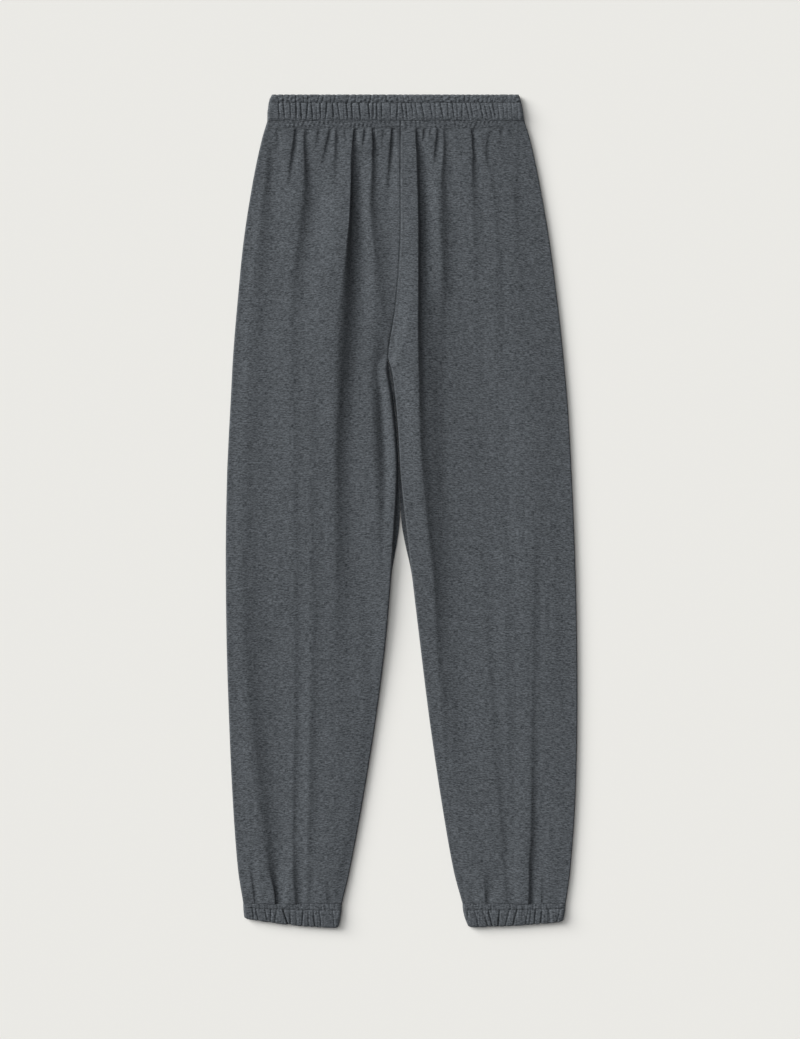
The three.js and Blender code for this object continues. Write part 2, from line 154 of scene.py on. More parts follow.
# The heather knit. Its yarn is spun from dark and light fibres, so short streaks run along
# each course of stitches, across the leg.
heather = {
    "dark": (0.0148, 0.0176, 0.0204),
    "light": (0.153, 0.168, 0.185),
    "streakLong": 6.4,
    "streakHigh": 1.4,
    "fleckLong": 2.8,
    "fleckHigh": 1.2,
    "patchLong": 26,
    "patchHigh": 8,
    "cloudSize": 70,
    "wanderLong": 45,
    "wanderHigh": 16,
    "wander": 6,  # how far a course strays
    "fuzzLong": 1.6,
    "fuzzHigh": 0.7,
    "waleWide": 1.15,
    "courseHigh": 0.95,
    "colourShares": {"streak": 0.36, "fleck": 0.32, "patch": 0.28, "cloud": 0.04},
    "reliefShares": {"wale": 0.4, "course": 0.3, "fuzz": 1.8},
    "reliefDeep": 0.6,
    "finish": {"Roughness": 0.92, "Specular IOR Level": 0.16, "Sheen Weight": 0.1, "Sheen Roughness": 0.55,
               "Sheen Tint": (0.7, 0.75, 0.8, 1)},
}


def makeHeatherGroup():
    group = bpy.data.node_groups.new("heather knit", "ShaderNodeTree")
    addSockets(group, "INPUT", {"Cloth place": "Vector", "Dark fibre": "Color", "Light fibre": "Color",
                                "Tone": "Float"})
    addSockets(group, "OUTPUT", {"Color": "Color", "Height": "Float"})
    start = group.nodes.new("NodeGroupInput").outputs
    end = group.nodes.new("NodeGroupOutput").inputs

    def maths(operation, first, second):
        return addNode(group, "ShaderNodeMath", {"operation": operation}, {0: first, 1: second}).outputs[0]

    def vectors(operation, first, second):
        values = {"operation": operation}
        return addNode(group, "ShaderNodeVectorMath", values, {0: first, 1: second}).outputs[0]

    def noise(place, long, high, detail, roughness):
        scaled = vectors("MULTIPLY", place, (1 / (long * mm), 1 / (high * mm), 0))
        inputs = {"Vector": scaled, "Scale": 1.0, "Detail": detail, "Roughness": roughness}
        return addNode(group, "ShaderNodeTexNoise", {"noise_dimensions": "2D"}, inputs).outputs[0]

    def spread(value, low, high):
        inputs = {"Value": value, "From Min": low, "From Max": high}
        return addNode(group, "ShaderNodeMapRange", {"interpolation_type": "SMOOTHSTEP"}, inputs).outputs[0]

    # the courses wander a little, so no streak is quite straight
    place = start["Cloth place"]
    bends = noise(place, heather["wanderLong"], heather["wanderHigh"], 1.0, 0.5)
    wander = maths("MULTIPLY", bends, heather["wander"] * mm)
    bent = vectors("ADD", place, addNode(group, "ShaderNodeCombineXYZ", None, {"Y": wander}).outputs[0])
    streak = spread(noise(bent, heather["streakLong"], heather["streakHigh"], 1.0, 0.6), 0.3, 0.7)
    fleck = spread(noise(bent, heather["fleckLong"], heather["fleckHigh"], 1.0, 0.6), 0.32, 0.68)
    patch = noise(bent, heather["patchLong"], heather["patchHigh"], 2.0, 0.6)
    cloud = noise(place, heather["cloudSize"], heather["cloudSize"], 2.0, 0.5)
    share = heather["colourShares"]
    fine = maths("ADD", maths("MULTIPLY", streak, share["streak"]), maths("MULTIPLY", fleck, share["fleck"]))
    broad = maths("ADD", maths("MULTIPLY", patch, share["patch"]), maths("MULTIPLY", cloud, share["cloud"]))
    # a mix of colours takes its share at input 0 and its two colours at 6 and 7
    blend = {0: maths("ADD", fine, broad), 6: start["Dark fibre"], 7: start["Light fibre"]}
    colour = addNode(group, "ShaderNodeMix", {"data_type": "RGBA"}, blend).outputs[2]
    toned = addNode(group, "ShaderNodeVectorMath", {"operation": "SCALE"}, {0: colour, 3: start["Tone"]})
    group.links.new(toned.outputs[0], end["Color"])

    parted = addNode(group, "ShaderNodeSeparateXYZ", None, {0: bent}).outputs
    wale = maths("SINE", maths("MULTIPLY", parted[0], math.tau / (heather["waleWide"] * mm)), 0.0)
    course = maths("SINE", maths("MULTIPLY", parted[1], math.tau / (heather["courseHigh"] * mm)), 0.0)
    share = heather["reliefShares"]
    loops = maths("ADD", maths("MULTIPLY", wale, share["wale"]), maths("MULTIPLY", course, share["course"]))
    fuzz = noise(place, heather["fuzzLong"], heather["fuzzHigh"], 3.0, 0.7)
    rough = maths("ADD", streak, maths("MULTIPLY", fuzz, share["fuzz"]))
    group.links.new(maths("ADD", loops, rough), end["Height"])
    return group


def makeKnit(name, group, tone, bump):
    material, tree, shader = newMaterial(name, heather["finish"])
    place = addNode(tree, "ShaderNodeUVMap", {"uv_map": "cloth"}).outputs[0]
    inputs = {0: place, 1: (*heather["dark"], 1), 2: (*heather["light"], 1), 3: tone}
    knit = addNode(tree, "ShaderNodeGroup", {"node_tree": group}, inputs)
    raised = {"Strength": bump, "Distance": heather["reliefDeep"] * mm, "Height": knit.outputs["Height"]}
    relief = addNode(tree, "ShaderNodeBump", None, raised)
    tree.links.new(knit.outputs["Color"], shader.inputs["Base Color"])
    tree.links.new(relief.outputs[0], shader.inputs["Normal"])
    return material


thread = {
    "dark": (0.045, 0.049, 0.053, 1), "light": (0.085, 0.092, 0.1, 1), "twists": 900.0,
    "finish": {"Roughness": 0.75},
}


def makeThread():
    material, tree, shader = newMaterial("grey thread", thread["finish"])
    place = addNode(tree, "ShaderNodeTexCoord").outputs["Object"]
    twist = addNode(tree, "ShaderNodeTexWave", {"bands_direction": "DIAGONAL"},
                    {"Vector": place, "Scale": thread["twists"], "Distortion": 1.0}).outputs[1]
    colour = addNode(tree, "ShaderNodeMix", {"data_type": "RGBA"},
                     {0: twist, 6: thread["dark"], 7: thread["light"]})
    tree.links.new(colour.outputs[2], shader.inputs["Base Color"])
    return material


heatherGroup = makeHeatherGroup()
panelKnit = makeKnit("heather knit", heatherGroup, 0.975, 0.55)
bandKnit = makeKnit("heather knit, doubled", heatherGroup, 1.14, 0.6)
cuffKnit = makeKnit("heather knit, doubled, cuffs", heatherGroup, 1.02, 0.6)
threadLook = makeThread()
print("materials done")


# Shapes: shared helpers

def alongTable(points, y):
    # a smooth curve through (y, value) points
    rows = np.array(sorted(points), dtype=float)
    ys, values = rows[:, 0], rows[:, 1]
    last = len(ys) - 1
    below = np.maximum(np.arange(last + 1) - 1, 0)
    above = np.minimum(np.arange(last + 1) + 1, last)
    slopes = (values[above] - values[below]) / (ys[above] - ys[below])
    at = np.clip(y, ys[0], ys[-1])
    i = np.clip(np.searchsorted(ys, at) - 1, 0, last - 1)
    step = ys[i + 1] - ys[i]
    t = (at - ys[i]) / step
    blend = t * t * (3 - 2 * t)
    bend = slopes[i] * t * (1 - t) ** 2 - slopes[i + 1] * t * t * (1 - t)
    return values[i] + (values[i + 1] - values[i]) * blend + step * bend


def betweenRows(rows, column, y):
    # straight between the rows of a table whose first column is y
    table = np.array(sorted(rows), dtype=float)
    return np.interp(y, table[:, 0], table[:, column])


def smooth(value, low, high):
    t = np.clip((value - low) / (high - low), 0, 1)
    return t * t * (3 - 2 * t)


def mix(first, second, share):
    return first + (second - first) * share


def bell(away, reach):
    return np.exp(-(away / reach) ** 2)


def softFloor(height, lowest, blend):
    # keeps a height above lowest, with a rounded corner
    over = height - lowest
    return lowest + 0.5 * (over + np.sqrt(over * over + blend * blend))


def ripple(x, y, wave, seed, stretch=1.0):
    # soft uneven ripples, longer along the leg where stretch is over 1
    rng = np.random.default_rng(seed)
    total = np.zeros(np.broadcast(x, y).shape)
    for _ in range(9):
        turn = rng.uniform(0, math.tau)
        size = wave * rng.uniform(0.7, 1.7)
        phase = rng.uniform(0, math.tau)
        total += np.sin((x * math.cos(turn) + y / stretch * math.sin(turn)) * math.tau / size + phase)
    return total / 4


def spacedRows(spacing, count):
    # count values from the first to the last of (value, spacing) points, closer where spacing is small
    table = np.array(spacing, dtype=float)
    fine = np.linspace(table[0, 0], table[-1, 0], 4000)
    order = np.argsort(table[:, 0])
    gap = np.interp(fine, table[order, 0], table[order, 1])
    walked = np.concatenate([[0], np.cumsum(2 / (gap[1:] + gap[:-1]))])
    return np.interp(np.linspace(0, walked[-1], count), walked, fine)


def gatherRelief(gathers, x, t, reach):
    # how deep the gathers pinch at x: each is (x at the top, x at the foot, depth there, depth here),
    # and t goes from 0 at the top to 1 at the foot
    total = np.zeros(np.broadcast(x, t).shape)
    for top, foot, deepTop, deepFoot in gathers:
        away = np.abs(x - mix(top, foot, t)) / reach
        total = total + mix(deepTop, deepFoot, t) * np.clip(1 - away, 0, 1) ** 1.6
    return total


def scatteredGathers(start, end, count, seed, deepest=1.0):
    # gathers for the sides that the picture doesn't show, unevenly spaced
    rng = np.random.default_rng(seed)
    gap = (end - start) / count
    gathers = []
    for k in range(count):
        x = start + (k + 0.5 + rng.uniform(-0.35, 0.35)) * gap
        lean = rng.uniform(-2.2, 2.2)
        gathers.append((x - lean, x + lean, deepest * rng.uniform(0.3, 1), deepest * rng.uniform(0.3, 1)))
    return gathers


def turnedOut(points, faces):
    # the faces of a closed mesh, turned so that they point out
    volume = 0.0
    for corners in faces:
        a = points[corners[:, 0]]
        for k in range(1, corners.shape[1] - 1):
            b, c = points[corners[:, k]], points[corners[:, k + 1]]
            volume += float(np.einsum("ij,ij->", a, np.cross(b, c)))
    return faces if volume > 0 else [corners[:, ::-1] for corners in faces]


def makePiece(name, points, cloth, faces, material):
    faces = turnedOut(points, faces)
    mesh = bpy.data.meshes.new(name)
    mesh.from_pydata((points * mm).tolist(), [], [row for corners in faces for row in corners.tolist()])
    layer = mesh.uv_layers.new(name="cloth")
    corner = np.empty(len(mesh.loops), dtype=np.int32)
    mesh.loops.foreach_get("vertex_index", corner)
    layer.data.foreach_set("uv", (cloth[corner] * mm).ravel())
    mesh.polygons.foreach_set("use_smooth", np.ones(len(mesh.polygons), dtype=bool))
    mesh.set_sharp_from_angle(angle=math.radians(60))
    mesh.materials.append(material)
    return linked(name, mesh)


def bridge(outer, inner):
    # triangles between an edge and one with fewer points, both in the same order
    step = (len(outer) - 1) // (len(inner) - 1)
    triangles = []
    for k in range(len(inner) - 1):
        here, there = inner[k], inner[k + 1]
        for j in range(step):
            a, b = outer[k * step + j], outer[k * step + j + 1]
            if j == step // 2:
                triangles.append((a, there, here))
            triangles.append((a, b, here if j < step // 2 else there))
    return triangles


def quadGrid(index):
    return np.stack([index[:-1, :-1], index[1:, :-1], index[1:, 1:], index[:-1, 1:]], -1).reshape(-1, 4)


def closedRing(index):
    return np.concatenate([index, index[..., :1]], axis=-1)


def makeShell(name, outer, cloth, wall, step, material, ceiling=None):
    # a closed panel: a fine outer surface and a coarser inner one, a wall behind it
    rows, across = outer.shape[:2]
    normal = np.cross(np.gradient(outer, axis=0), np.gradient(outer, axis=1))
    normal /= np.linalg.norm(normal, axis=2, keepdims=True)
    inner = (outer - wall * normal)[::step, ::step]
    if ceiling is not None:
        inner[..., 2] = np.minimum(inner[..., 2], ceiling)
    index = np.arange(rows * across).reshape(rows, across)
    inside = rows * across + np.arange(inner.shape[0] * inner.shape[1]).reshape(inner.shape[:2])
    rim = bridge(index[0], inside[0]) + bridge(index[:, -1], inside[:, -1])
    rim += bridge(index[-1, ::-1], inside[-1, ::-1]) + bridge(index[::-1, 0], inside[::-1, 0])
    points = np.concatenate([outer.reshape(-1, 3), inner.reshape(-1, 3)])
    flat = np.concatenate([cloth.reshape(-1, 2), cloth[::step, ::step].reshape(-1, 2)])
    faces = [quadGrid(index), quadGrid(inside)[:, ::-1], np.array(rim)]
    return makePiece(name, points, flat, faces, material)


def makeTube(name, outer, inner, cloth, step, material):
    # a closed tube: fine rings outside and two coarse ones inside, at its two open ends
    rows, around = outer.shape[:2]
    index = np.arange(rows * around).reshape(rows, around)
    inside = rows * around + np.arange(inner.shape[0] * inner.shape[1]).reshape(inner.shape[:2])
    rim = bridge(closedRing(index[0]), closedRing(inside[0]))
    rim += bridge(closedRing(index[-1])[::-1], closedRing(inside[-1])[::-1])
    points = np.concatenate([outer.reshape(-1, 3), inner.reshape(-1, 3)])
    flat = np.concatenate([cloth.reshape(-1, 2), cloth[[0, -1]][:, ::step].reshape(-1, 2)])
    faces = [quadGrid(closedRing(index)), quadGrid(closedRing(inside))[:, ::-1], np.array(rim)]
    return makePiece(name, points, flat, faces, material)


# The four leg panels

legs = {
    "top": 486.1,
    "foot": -488.5,
    "stripFoot": 477.2,
    "crotch": 194.7,
    "crotchRamp": 20,
    # the span of y where the under layer closes the gap between the legs; lower down it is a dark sheet
    # standing in for the shade on the floor there (painted shade)
    "gapShadeReach": (-84, 12),
    "seamGap": 0.3,
    "wall": 1.9,
    "seamHeight": 3,
    "lowest": 4.4,
    "roll": {
        "outerLeft": [(486, 2.6), (-488, 2.6)],
        "innerLeft": [(195, 3.6), (120, 3.6), (20, 2.8), (-60, 1.8), (-488, 1.7)],
        "innerRight": [(195, 1.6), (-488, 2.2)],
        "outerRight": [(486, 1.9), (-488, 1.7)],
    },
    "edgeRise": {"outerLeft": 30, "innerLeft": 17, "innerRight": 26, "outerRight": 60},
    "underRoll": 2.7,
    "underCeiling": 2.1,
    "stripHigh": 10.5,
    "stripPucker": 0.62,
    "riseDip": (1.0, 1.1),  # how deep the cloth dips into the seam, and how far from it
    "cuffDip": (0.3, 0.9),
    "stitchDip": (0.4, 0.7),
    "lean": 0.3,  # how far a sharp lip leans over its fold
    "slant": {"left": 0.053, "right": -0.066},  # how the courses slant with the legs
    "arcSteps": 8,
    "middleSteps": 176,
    "rows": 361,
    "rowGaps": [(486.1, 0.5), (475, 0.9), (465, 1.6), (400, 2.6), (330, 3.2), (-420, 3.4), (-470, 2.0),
                (-488.5, 0.9)],
    "underRowGaps": [(486.1, 1.6), (400, 5), (-430, 6.5), (-488.5, 1.8)],
    "underRows": 161,
    "underSteps": 64,
    "coarser": 4,
    "ridgeShare": 0.34,  # how much of a fold's fall its ridge makes, and the rest its hollow
}
riseSeam = [(486, -1.2), (462, -1.3), (413, -1.5), (338, -1.7), (258, -7.5), (194.7, -16.8)]
outline = {
    "outerLeft": [(486, -167.5), (462, -174.6), (413, -185), (338, -196.8), (258, -204.8), (194.7, -210),
                  (139, -213), (95, -215.4), (45, -217.6), (-48, -219.2), (-160, -218.2), (-260, -215.1),
                  (-360, -210.5), (-447, -203.9), (-488.5, -197.4)],
    "innerLeft": riseSeam + [
        (176, -17), (139, -11.2), (95, -6.8), (45, -4.8), (-48, -10.4), (-160, -19.4), (-260, -32.1),
        (-360, -48.2), (-447, -64.4), (-488.5, -74.1)],
    "innerRight": riseSeam + [
        (176, -12.2), (139, -7.4), (95, -4), (45, -1.2), (-48, 9.3), (-160, 22.5), (-260, 34.9),
        (-360, 49.6), (-447, 64.8), (-488.5, 75.8)],
    "outerRight": [(486, 153.4), (462, 160.8), (413, 171.4), (338, 184.4), (258, 194.9), (194.7, 201.8),
                   (139, 206.8), (95, 209.6), (45, 212.2), (-48, 216.2), (-160, 218.8), (-260, 219.1),
                   (-360, 216.7), (-447, 210.5), (-488.5, 204.8)],
}
loft = [(486, 10.4), (472, 9.8), (400, 9.6), (250, 9.3), (100, 9), (-100, 8.6), (-300, 8.5), (-440, 8.8),
        (-488.5, 9)]
edgeHeight = {
    "outerLeft": [(486, 9.4), (470, 9), (440, 8.6), (-440, 8), (-470, 8), (-488.5, 8)],
    "outerRight": [(486, 9.2), (470, 8), (440, 7.2), (-440, 7), (-470, 7), (-488.5, 7.2)],
    "inner": [(195, 9), (176, 9.8), (120, 11), (60, 12.4), (-60, 13), (-130, 11.5), (-200, 9), (-260, 7.4),
              (-440, 6.4), (-470, 7), (-488.5, 7.6)],
}
# the thighs lie fuller than the calves: how much higher, and where
swell = {"high": 4, "left": (-225, -170), "right": (10, 84), "top": (330, 430), "foot": (-190, 20)}

# The folds of the upper cloth, named left and right as in the picture. Each is a list of rows down
# the leg: (y, x of the lip, how far the cloth falls there, over what width it falls, over what
# width it comes back, how sharp its lip is), and fades in and out with its rows.
folds = {
    "left outer hollow": [
        (475, -168, 1.6, 4, 6, 0.7), (460, -168, 3.4, 5, 9, 0.7), (438, -171, 5, 10, 20, 0.4),
        (400, -176, 5.8, 15, 27, 0.3), (345, -187, 6.6, 26, 40, 0.2), (285, -195, 5.8, 26, 45, 0.2),
        (150, -205, 4, 35, 42, 0.2), (0, -208, 4.8, 30, 60, 0.2), (-160, -208, 6, 42, 65, 0.3),
        (-250, -200, 6.8, 44, 46, 0.3), (-400, -177, 6.8, 28, 28, 0.3), (-440, -170, 6.2, 18, 22, 0.4),
        (-460, -164, 6, 8, 18, 0.6), (-475, -160.5, 6.8, 5, 12, 0.9), (-488, -159.5, 6.2, 4, 10, 1)],
    "left hip fold": [
        (477, -121.5, 1.6, 4, 6, 0.6), (460, -123, 3, 5, 9, 0.6), (443, -123, 4, 6, 15, 0.5),
        (425, -123, 5.2, 9, 21, 0.3), (388, -126, 5.6, 17, 27, 0.3), (320, -137, 4.4, 22, 37, 0.3),
        (225, -142, 2.8, 18, 32, 0.3), (100, -139, 1.5, 15, 21, 0.3), (-75, -137, 1.5, 14, 17, 0.3),
        (-250, -136, 2.6, 11, 12, 0.3), (-435, -138.5, 3.8, 11, 15, 0.3), (-488, -134.5, 4.3, 9, 11, 0.3)],
    "left long fold": [
        (477, -60.5, 3.4, 3.7, 5, 0.8), (465, -62.5, 5, 3.7, 6, 0.9), (455, -63.5, 6, 5, 11, 0.9),
        (443, -65.5, 7.2, 12, 20, 0.8), (410, -67.5, 15.5, 7, 21, 0.95), (385, -69, 17.5, 7, 22, 0.95),
        (355, -70.5, 18, 11, 22, 0.85), (275, -77, 16, 23, 27, 0.1), (225, -83.5, 16, 31, 37, 0),
        (175, -86, 15.5, 30, 62, 0.1), (75, -88.5, 11.4, 30, 72, 0.5), (-25, -87, 6.4, 30, 57, 0.5),
        (-125, -85.5, 2.8, 27, 37, 0.5), (-250, -83.5, 0, 17, 17, 0.4)],
    "left middle gather": [
        (477, -38, 4, 3.2, 3.5, 0.9), (465, -38.5, 7.4, 3.2, 4.5, 1), (455, -38, 7.2, 3.7, 8.5, 0.9),
        (443, -38.5, 5.4, 6, 16, 0.8), (425, -39, 4.8, 9, 23, 0.6), (385, -41, 4.8, 13, 37, 0.4),
        (320, -42.5, 5, 27, 37, 0.2), (275, -45, 6.2, 32, 30, 0.2), (225, -46, 11, 37, 17, 0.1),
        (175, -43.5, 12.5, 27, 10, 0), (125, -40.5, 12.5, 23, 10, 0), (75, -38, 11, 22, 10, 0),
        (25, -35, 6.4, 20, 12, 0.1), (-25, -32.5, 3.2, 16, 15, 0.3), (-75, -30, 1.4, 12, 12, 0.3),
        (-125, -30, 0, 10, 12, 0.3)],
    "left faint fold": [
        (200, -116.5, 0, 13, 22, 0.2), (140, -116, 1.5, 14, 22, 0.2), (-185, -116, 1.8, 14, 22, 0.2),
        (-360, -118, 2.2, 13, 22, 0.2), (-440, -120.5, 1.5, 11, 19, 0.2), (-488, -120, 1.8, 8, 13, 0.2)],
    "left knee fold": [
        (-60, -58.5, 0, 16, 22, 0.2), (-125, -56, 1.4, 16, 22, 0.2), (-185, -52, 1.1, 18, 19, 0.2),
        (-260, -48, 0, 18, 19, 0.2)],
    "right long fold": [
        (477, 16.5, 3, 3.2, 5, 0.8), (465, 16, 4.6, 4, 7.5, 0.9), (455, 16, 6.2, 6, 12, 0.85),
        (443, 16, 8.2, 10, 16, 0.8), (388, 16.5, 13, 8.5, 21, 0.85), (357, 17, 13.6, 9, 22, 0.85),
        (275, 17.5, 11.5, 7.5, 32, 0.8), (225, 17.5, 9.4, 8.5, 55, 0.7), (125, 19, 5.8, 13, 82, 0.6),
        (75, 20.5, 5, 15, 82, 0.5), (-25, 29, 4.4, 15, 70, 0.5), (-75, 35.5, 4.2, 15, 62, 0.5),
        (-185, 41.5, 3.2, 15, 50, 0.5), (-310, 50, 2.2, 15, 42, 0.4), (-447, 68, 0, 13, 37, 0.4)],
    "right hollow": [
        (477, 51, 1.8, 4, 11, 0.6), (455, 51.5, 2.6, 5.5, 14, 0.6), (430, 49, 4, 8, 19, 0.4),
        (390, 46, 4.6, 15, 32, 0.3), (355, 46, 4.8, 18, 35, 0.3), (225, 45.5, 4.4, 20, 45, 0.3),
        (175, 47, 2.4, 17, 45, 0.3), (75, 48.5, 0, 15, 45, 0.3)],
    "right thigh hollow": [
        (300, 20, 0, 32, 62, 0.3), (275, 20, 2.6, 35, 67, 0.3), (225, 20, 6.4, 42, 75, 0.2),
        (175, 20, 8.6, 55, 87, 0.3), (125, 21, 9.8, 57, 95, 0.3), (75, 22.5, 9.8, 57, 95, 0.3),
        (-25, 30, 7.6, 57, 87, 0.5), (-125, 41, 5, 47, 65, 0.5), (-422, 69.5, 0, 25, 37, 0.5)],
    "right middle gather": [
        (477, 85, 2.8, 3.4, 6, 0.8), (465, 86.5, 3.6, 3.6, 9, 0.8), (455, 86.5, 4, 3.8, 10, 0.8),
        (443, 87.5, 3.8, 4.4, 12, 0.8), (428, 86, 3.8, 8, 17, 0.5), (388, 86.5, 2.2, 12, 22, 0.5),
        (175, 89.5, 0.8, 14, 22, 0.5), (75, 89.5, 1.1, 14, 30, 0.5), (-25, 94.5, 1.6, 14, 34, 0.5),
        (-245, 109, 1.8, 13, 19, 0.5), (-360, 117.5, 1.9, 13, 19, 0.5), (-405, 122, 2.2, 11, 17, 0.5),
        (-437, 124.5, 1.6, 9, 13, 0.5), (-488, 129, 1.6, 8, 13, 0.5)],
    "right side gather": [
        (477, 111.5, 1, 5, 7.5, 0.7), (465, 105.5, 1.6, 5, 12, 0.7), (443, 103.5, 1.8, 5, 14, 0.7),
        (410, 109.5, 2, 11, 17, 0.4), (357, 114, 1.4, 13, 17, 0.4), (75, 116.5, 1, 13, 17, 0.4),
        (-60, 125.5, 1.1, 14, 15, 0.4), (-310, 131, 1.8, 11, 17, 0.4), (-437, 134.5, 0, 11, 15, 0.4)],
    "right outer gather": [
        (477, 151, 1, 3, 6, 0.7), (462, 142, 1.8, 4, 9, 0.7), (443, 142.5, 2.6, 5, 10, 0.7),
        (410, 140.5, 3, 9, 15, 0.4), (388, 138.5, 2.5, 13, 17, 0.4), (320, 143, 1.1, 14, 19, 0.4),
        (263, 150.5, 0, 14, 19, 0.4)],
    "right outer hollow": [
        (400, 159, 0, 10, 19, 0.2), (375, 162, 1.4, 12, 19, 0.2), (225, 177.5, 1.6, 13, 22, 0.2),
        (125, 183.5, 1.6, 13, 19, 0.2), (-185, 190, 1.6, 14, 22, 0.2), (-285, 196.5, 1.2, 14, 22, 0.2),
        (-347, 200, 0, 14, 22, 0.2)],
    "right calf fold": [
        (15, 162.5, 0, 13, 22, 0.5), (-75, 162.5, 1.9, 13, 24, 0.5), (-185, 161, 2.2, 13, 22, 0.5),
        (-250, 160, 2.2, 13, 34, 0.5), (-310, 159.5, 3.2, 12, 49, 0.5), (-405, 158.5, 4.8, 11, 37, 0.5),
        (-437, 156.5, 5.5, 9, 34, 0.5), (-459, 156.5, 6, 9, 15, 0.9), (-488, 156, 6.2, 8, 11, 0.9)],
    "right ankle edge gather": [
        (-360, 201.5, 0, 10, 11, 0.4), (-405, 201.5, 1.2, 10, 11, 0.4), (-460, 198, 1.8, 9, 11, 0.4),
        (-488, 195, 1.8, 8, 11, 0.4)],
}
# Short gathers at the waist and the ankles, one row each: (x at the seam, x where it ends, how far
# it runs, how far the cloth falls, over what width, over what width it comes back, how sharp)
waistGathers = [
    (-158, -156, 31, 2.3, 3, 4, 0.8), (-134, -146, 82, 4.2, 3.2, 6.5, 0.95),
    (-105, -109, 29, 1.8, 3, 5, 0.95), (-91, -105, 59, 2.9, 3.2, 6, 0.85),
    (-83, -88, 94, 2.8, 4, 7.5, 0.85), (-72.5, -72.5, 28, 1.5, 3, 4.5, 0.85),
    (-48, -51.5, 31, 3, 3.1, 5, 0.95), (-24, -28, 37, 1.6, 3, 5, 0.95), (-14, -22, 96, 4.4, 3.1, 5, 0.95),
    (26, 24.5, 23, 2.4, 2.8, 5, 0.95), (34.5, 33, 15, 1.6, 2.6, 4.5, 0.95),
    (43, 35.5, 64, 3.4, 3.2, 5, 0.85), (121, 123, 20, 1.8, 3.2, 8, 0.95), (134.5, 134, 18, 1.2, 3, 6, 0.95),
]
ankleGathers = [
    (-184.5, -195, 70, 4, 3, 5.5, 0.95), (-152, -153.5, 24, 2.2, 4.5, 7, 0.5),
    (-94.5, -97, 26, 2, 6, 10, 0.5), (81, 78.5, 29, 2.5, 6, 17, 0.5), (102.5, 100, 49, 3.4, 7, 12, 0.6),
    (172.5, 172, 46, 3.8, 4.5, 11, 0.7), (184, 183, 24, 3, 4.5, 12, 0.7),
]
gatherRun = [(0, 0.65), (0.2, 1), (0.55, 0.7), (1, 0)]  # how deep a short gather is along its run
gatherEnds = {"waist": 477, "ankle": -488}


def shortGather(seam, down, gather):
    # the rows of a short gather, which widens and softens away from its seam
    x, end, reach, drop, width, back, crisp = gather
    rows = []
    for share, deep in gatherRun:
        away = share * reach
        wider = 1 + away / 60
        rows.append((seam - down * away, mix(x, end, share), deep * drop, width * wider, back * wider,
                     crisp - away / 200))
    return rows


allFolds = list(folds.values())
allFolds += [shortGather(gatherEnds["waist"], 1, gather) for gather in waistGathers]
allFolds += [shortGather(gatherEnds["ankle"], -1, gather) for gather in ankleGathers]


def upperCloth(x, y):
    # the height of the upper cloth away from its rolled edges, and how far its lips lean over
    height = alongTable(loft, y)
    across = smooth(x, *swell["left"]) * (1 - smooth(x, *swell["right"]))
    height = height + swell["high"] * across * smooth(y, *swell["foot"]) * (1 - smooth(y, *swell["top"]))
    shift = np.zeros(height.shape)
    below = smooth(legs["stripFoot"] - y, -0.3, 2.2)
    for rows in allFolds:
        foot, top = sorted((rows[0][0], rows[-1][0]))
        crisp = betweenRows(rows, 5, y)
        deep = betweenRows(rows, 2, y) * ((y < top + 8) & (y > foot - 8)) * below
        width = betweenRows(rows, 3, y)
        back = betweenRows(rows, 4, y)
        across = x - alongTable([(row[0], row[1]) for row in rows], y)
        ridge = legs["ridgeShare"] * deep
        t = np.clip(across / width, 0, 1)
        steepest = 0.5 - 0.45 * crisp
        fall = np.where(t < steepest, t * t / steepest, 1 - (1 - t) ** 2 / (1 - steepest))
        left = ridge * smooth(across, -2.4 * width - 0.8 * deep - 4, 0)
        right = ridge * (1 - fall) - (deep - ridge) * fall * (1 - smooth(across, width, width + back))
        height = height + np.where(across < 0, left, right)
        shift = shift + legs["lean"] * crisp * deep * bell(across - 0.1 * width, 0.45 * width)
    height = height + 0.17 * ripple(x, y, 34, 5, 2.2) + 0.07 * ripple(x, y, 13, 9, 1.5)
    return softFloor(height, legs["lowest"], 1.2), shift


def panelEdges(side, y, closed):
    # the panel's two edges at each y, and how far each is rolled. closed brings the inner edges
    # together below the crotch, where the under layer closes the gap: near the crotch this is the real back
    # cloth at the inseam, and lower down it is a dark sheet of cloth put where there is only shade on the
    # floor between the legs (painted shade)
    innerLeft = alongTable(outline["innerLeft"], y)
    innerRight = alongTable(outline["innerRight"], y)
    middle = (innerLeft + innerRight) / 2
    gap = legs["seamGap"]
    apart = np.where(y >= legs["crotch"], gap, np.maximum(innerRight - innerLeft, gap))
    apart = mix(apart, gap, closed * smooth(y, *legs["gapShadeReach"]))
    roll = smooth(legs["crotch"] - y, 0, legs["crotchRamp"])
    whole = np.ones(y.shape)
    if side == "left":
        return alongTable(outline["outerLeft"], y), whole, middle - apart / 2, roll
    return middle + apart / 2, roll, alongTable(outline["outerRight"], y), whole


def denseColumns(count, left, right, lips):
    # the columns of each row, closer together where a sharp lip runs
    fine = np.linspace(0, 1, 801)
    even = np.linspace(0, 1, count)
    rows = []
    for k in range(len(left)):
        x = mix(left[k], right[k], fine)
        dense = np.ones(fine.shape)
        for at, closer in lips:
            dense += closer[k] * bell(x - at[k], 8)
        walked = np.concatenate([[0], np.cumsum((dense[1:] + dense[:-1]) / 2)])
        rows.append(np.interp(even, walked / walked[-1], x))
    return np.array(rows)


def rolledEdge(edge, side, roll, width, level, heightOf):
    # the columns of a rolled edge, from where it starts to turn to its outermost line at level
    turn = np.linspace(0, math.pi / 2, legs["arcSteps"] + 1)[None, :]
    share = turn / (math.pi / 2)
    out = width[:, None] * mix(share, np.sin(turn), roll[:, None])
    x = edge[:, None] + side * (out - width[:, None])
    z = heightOf(x)
    start = z[:, :1]
    return x, mix(z, start - (start - level) * (1 - np.cos(turn)), roll[:, None])


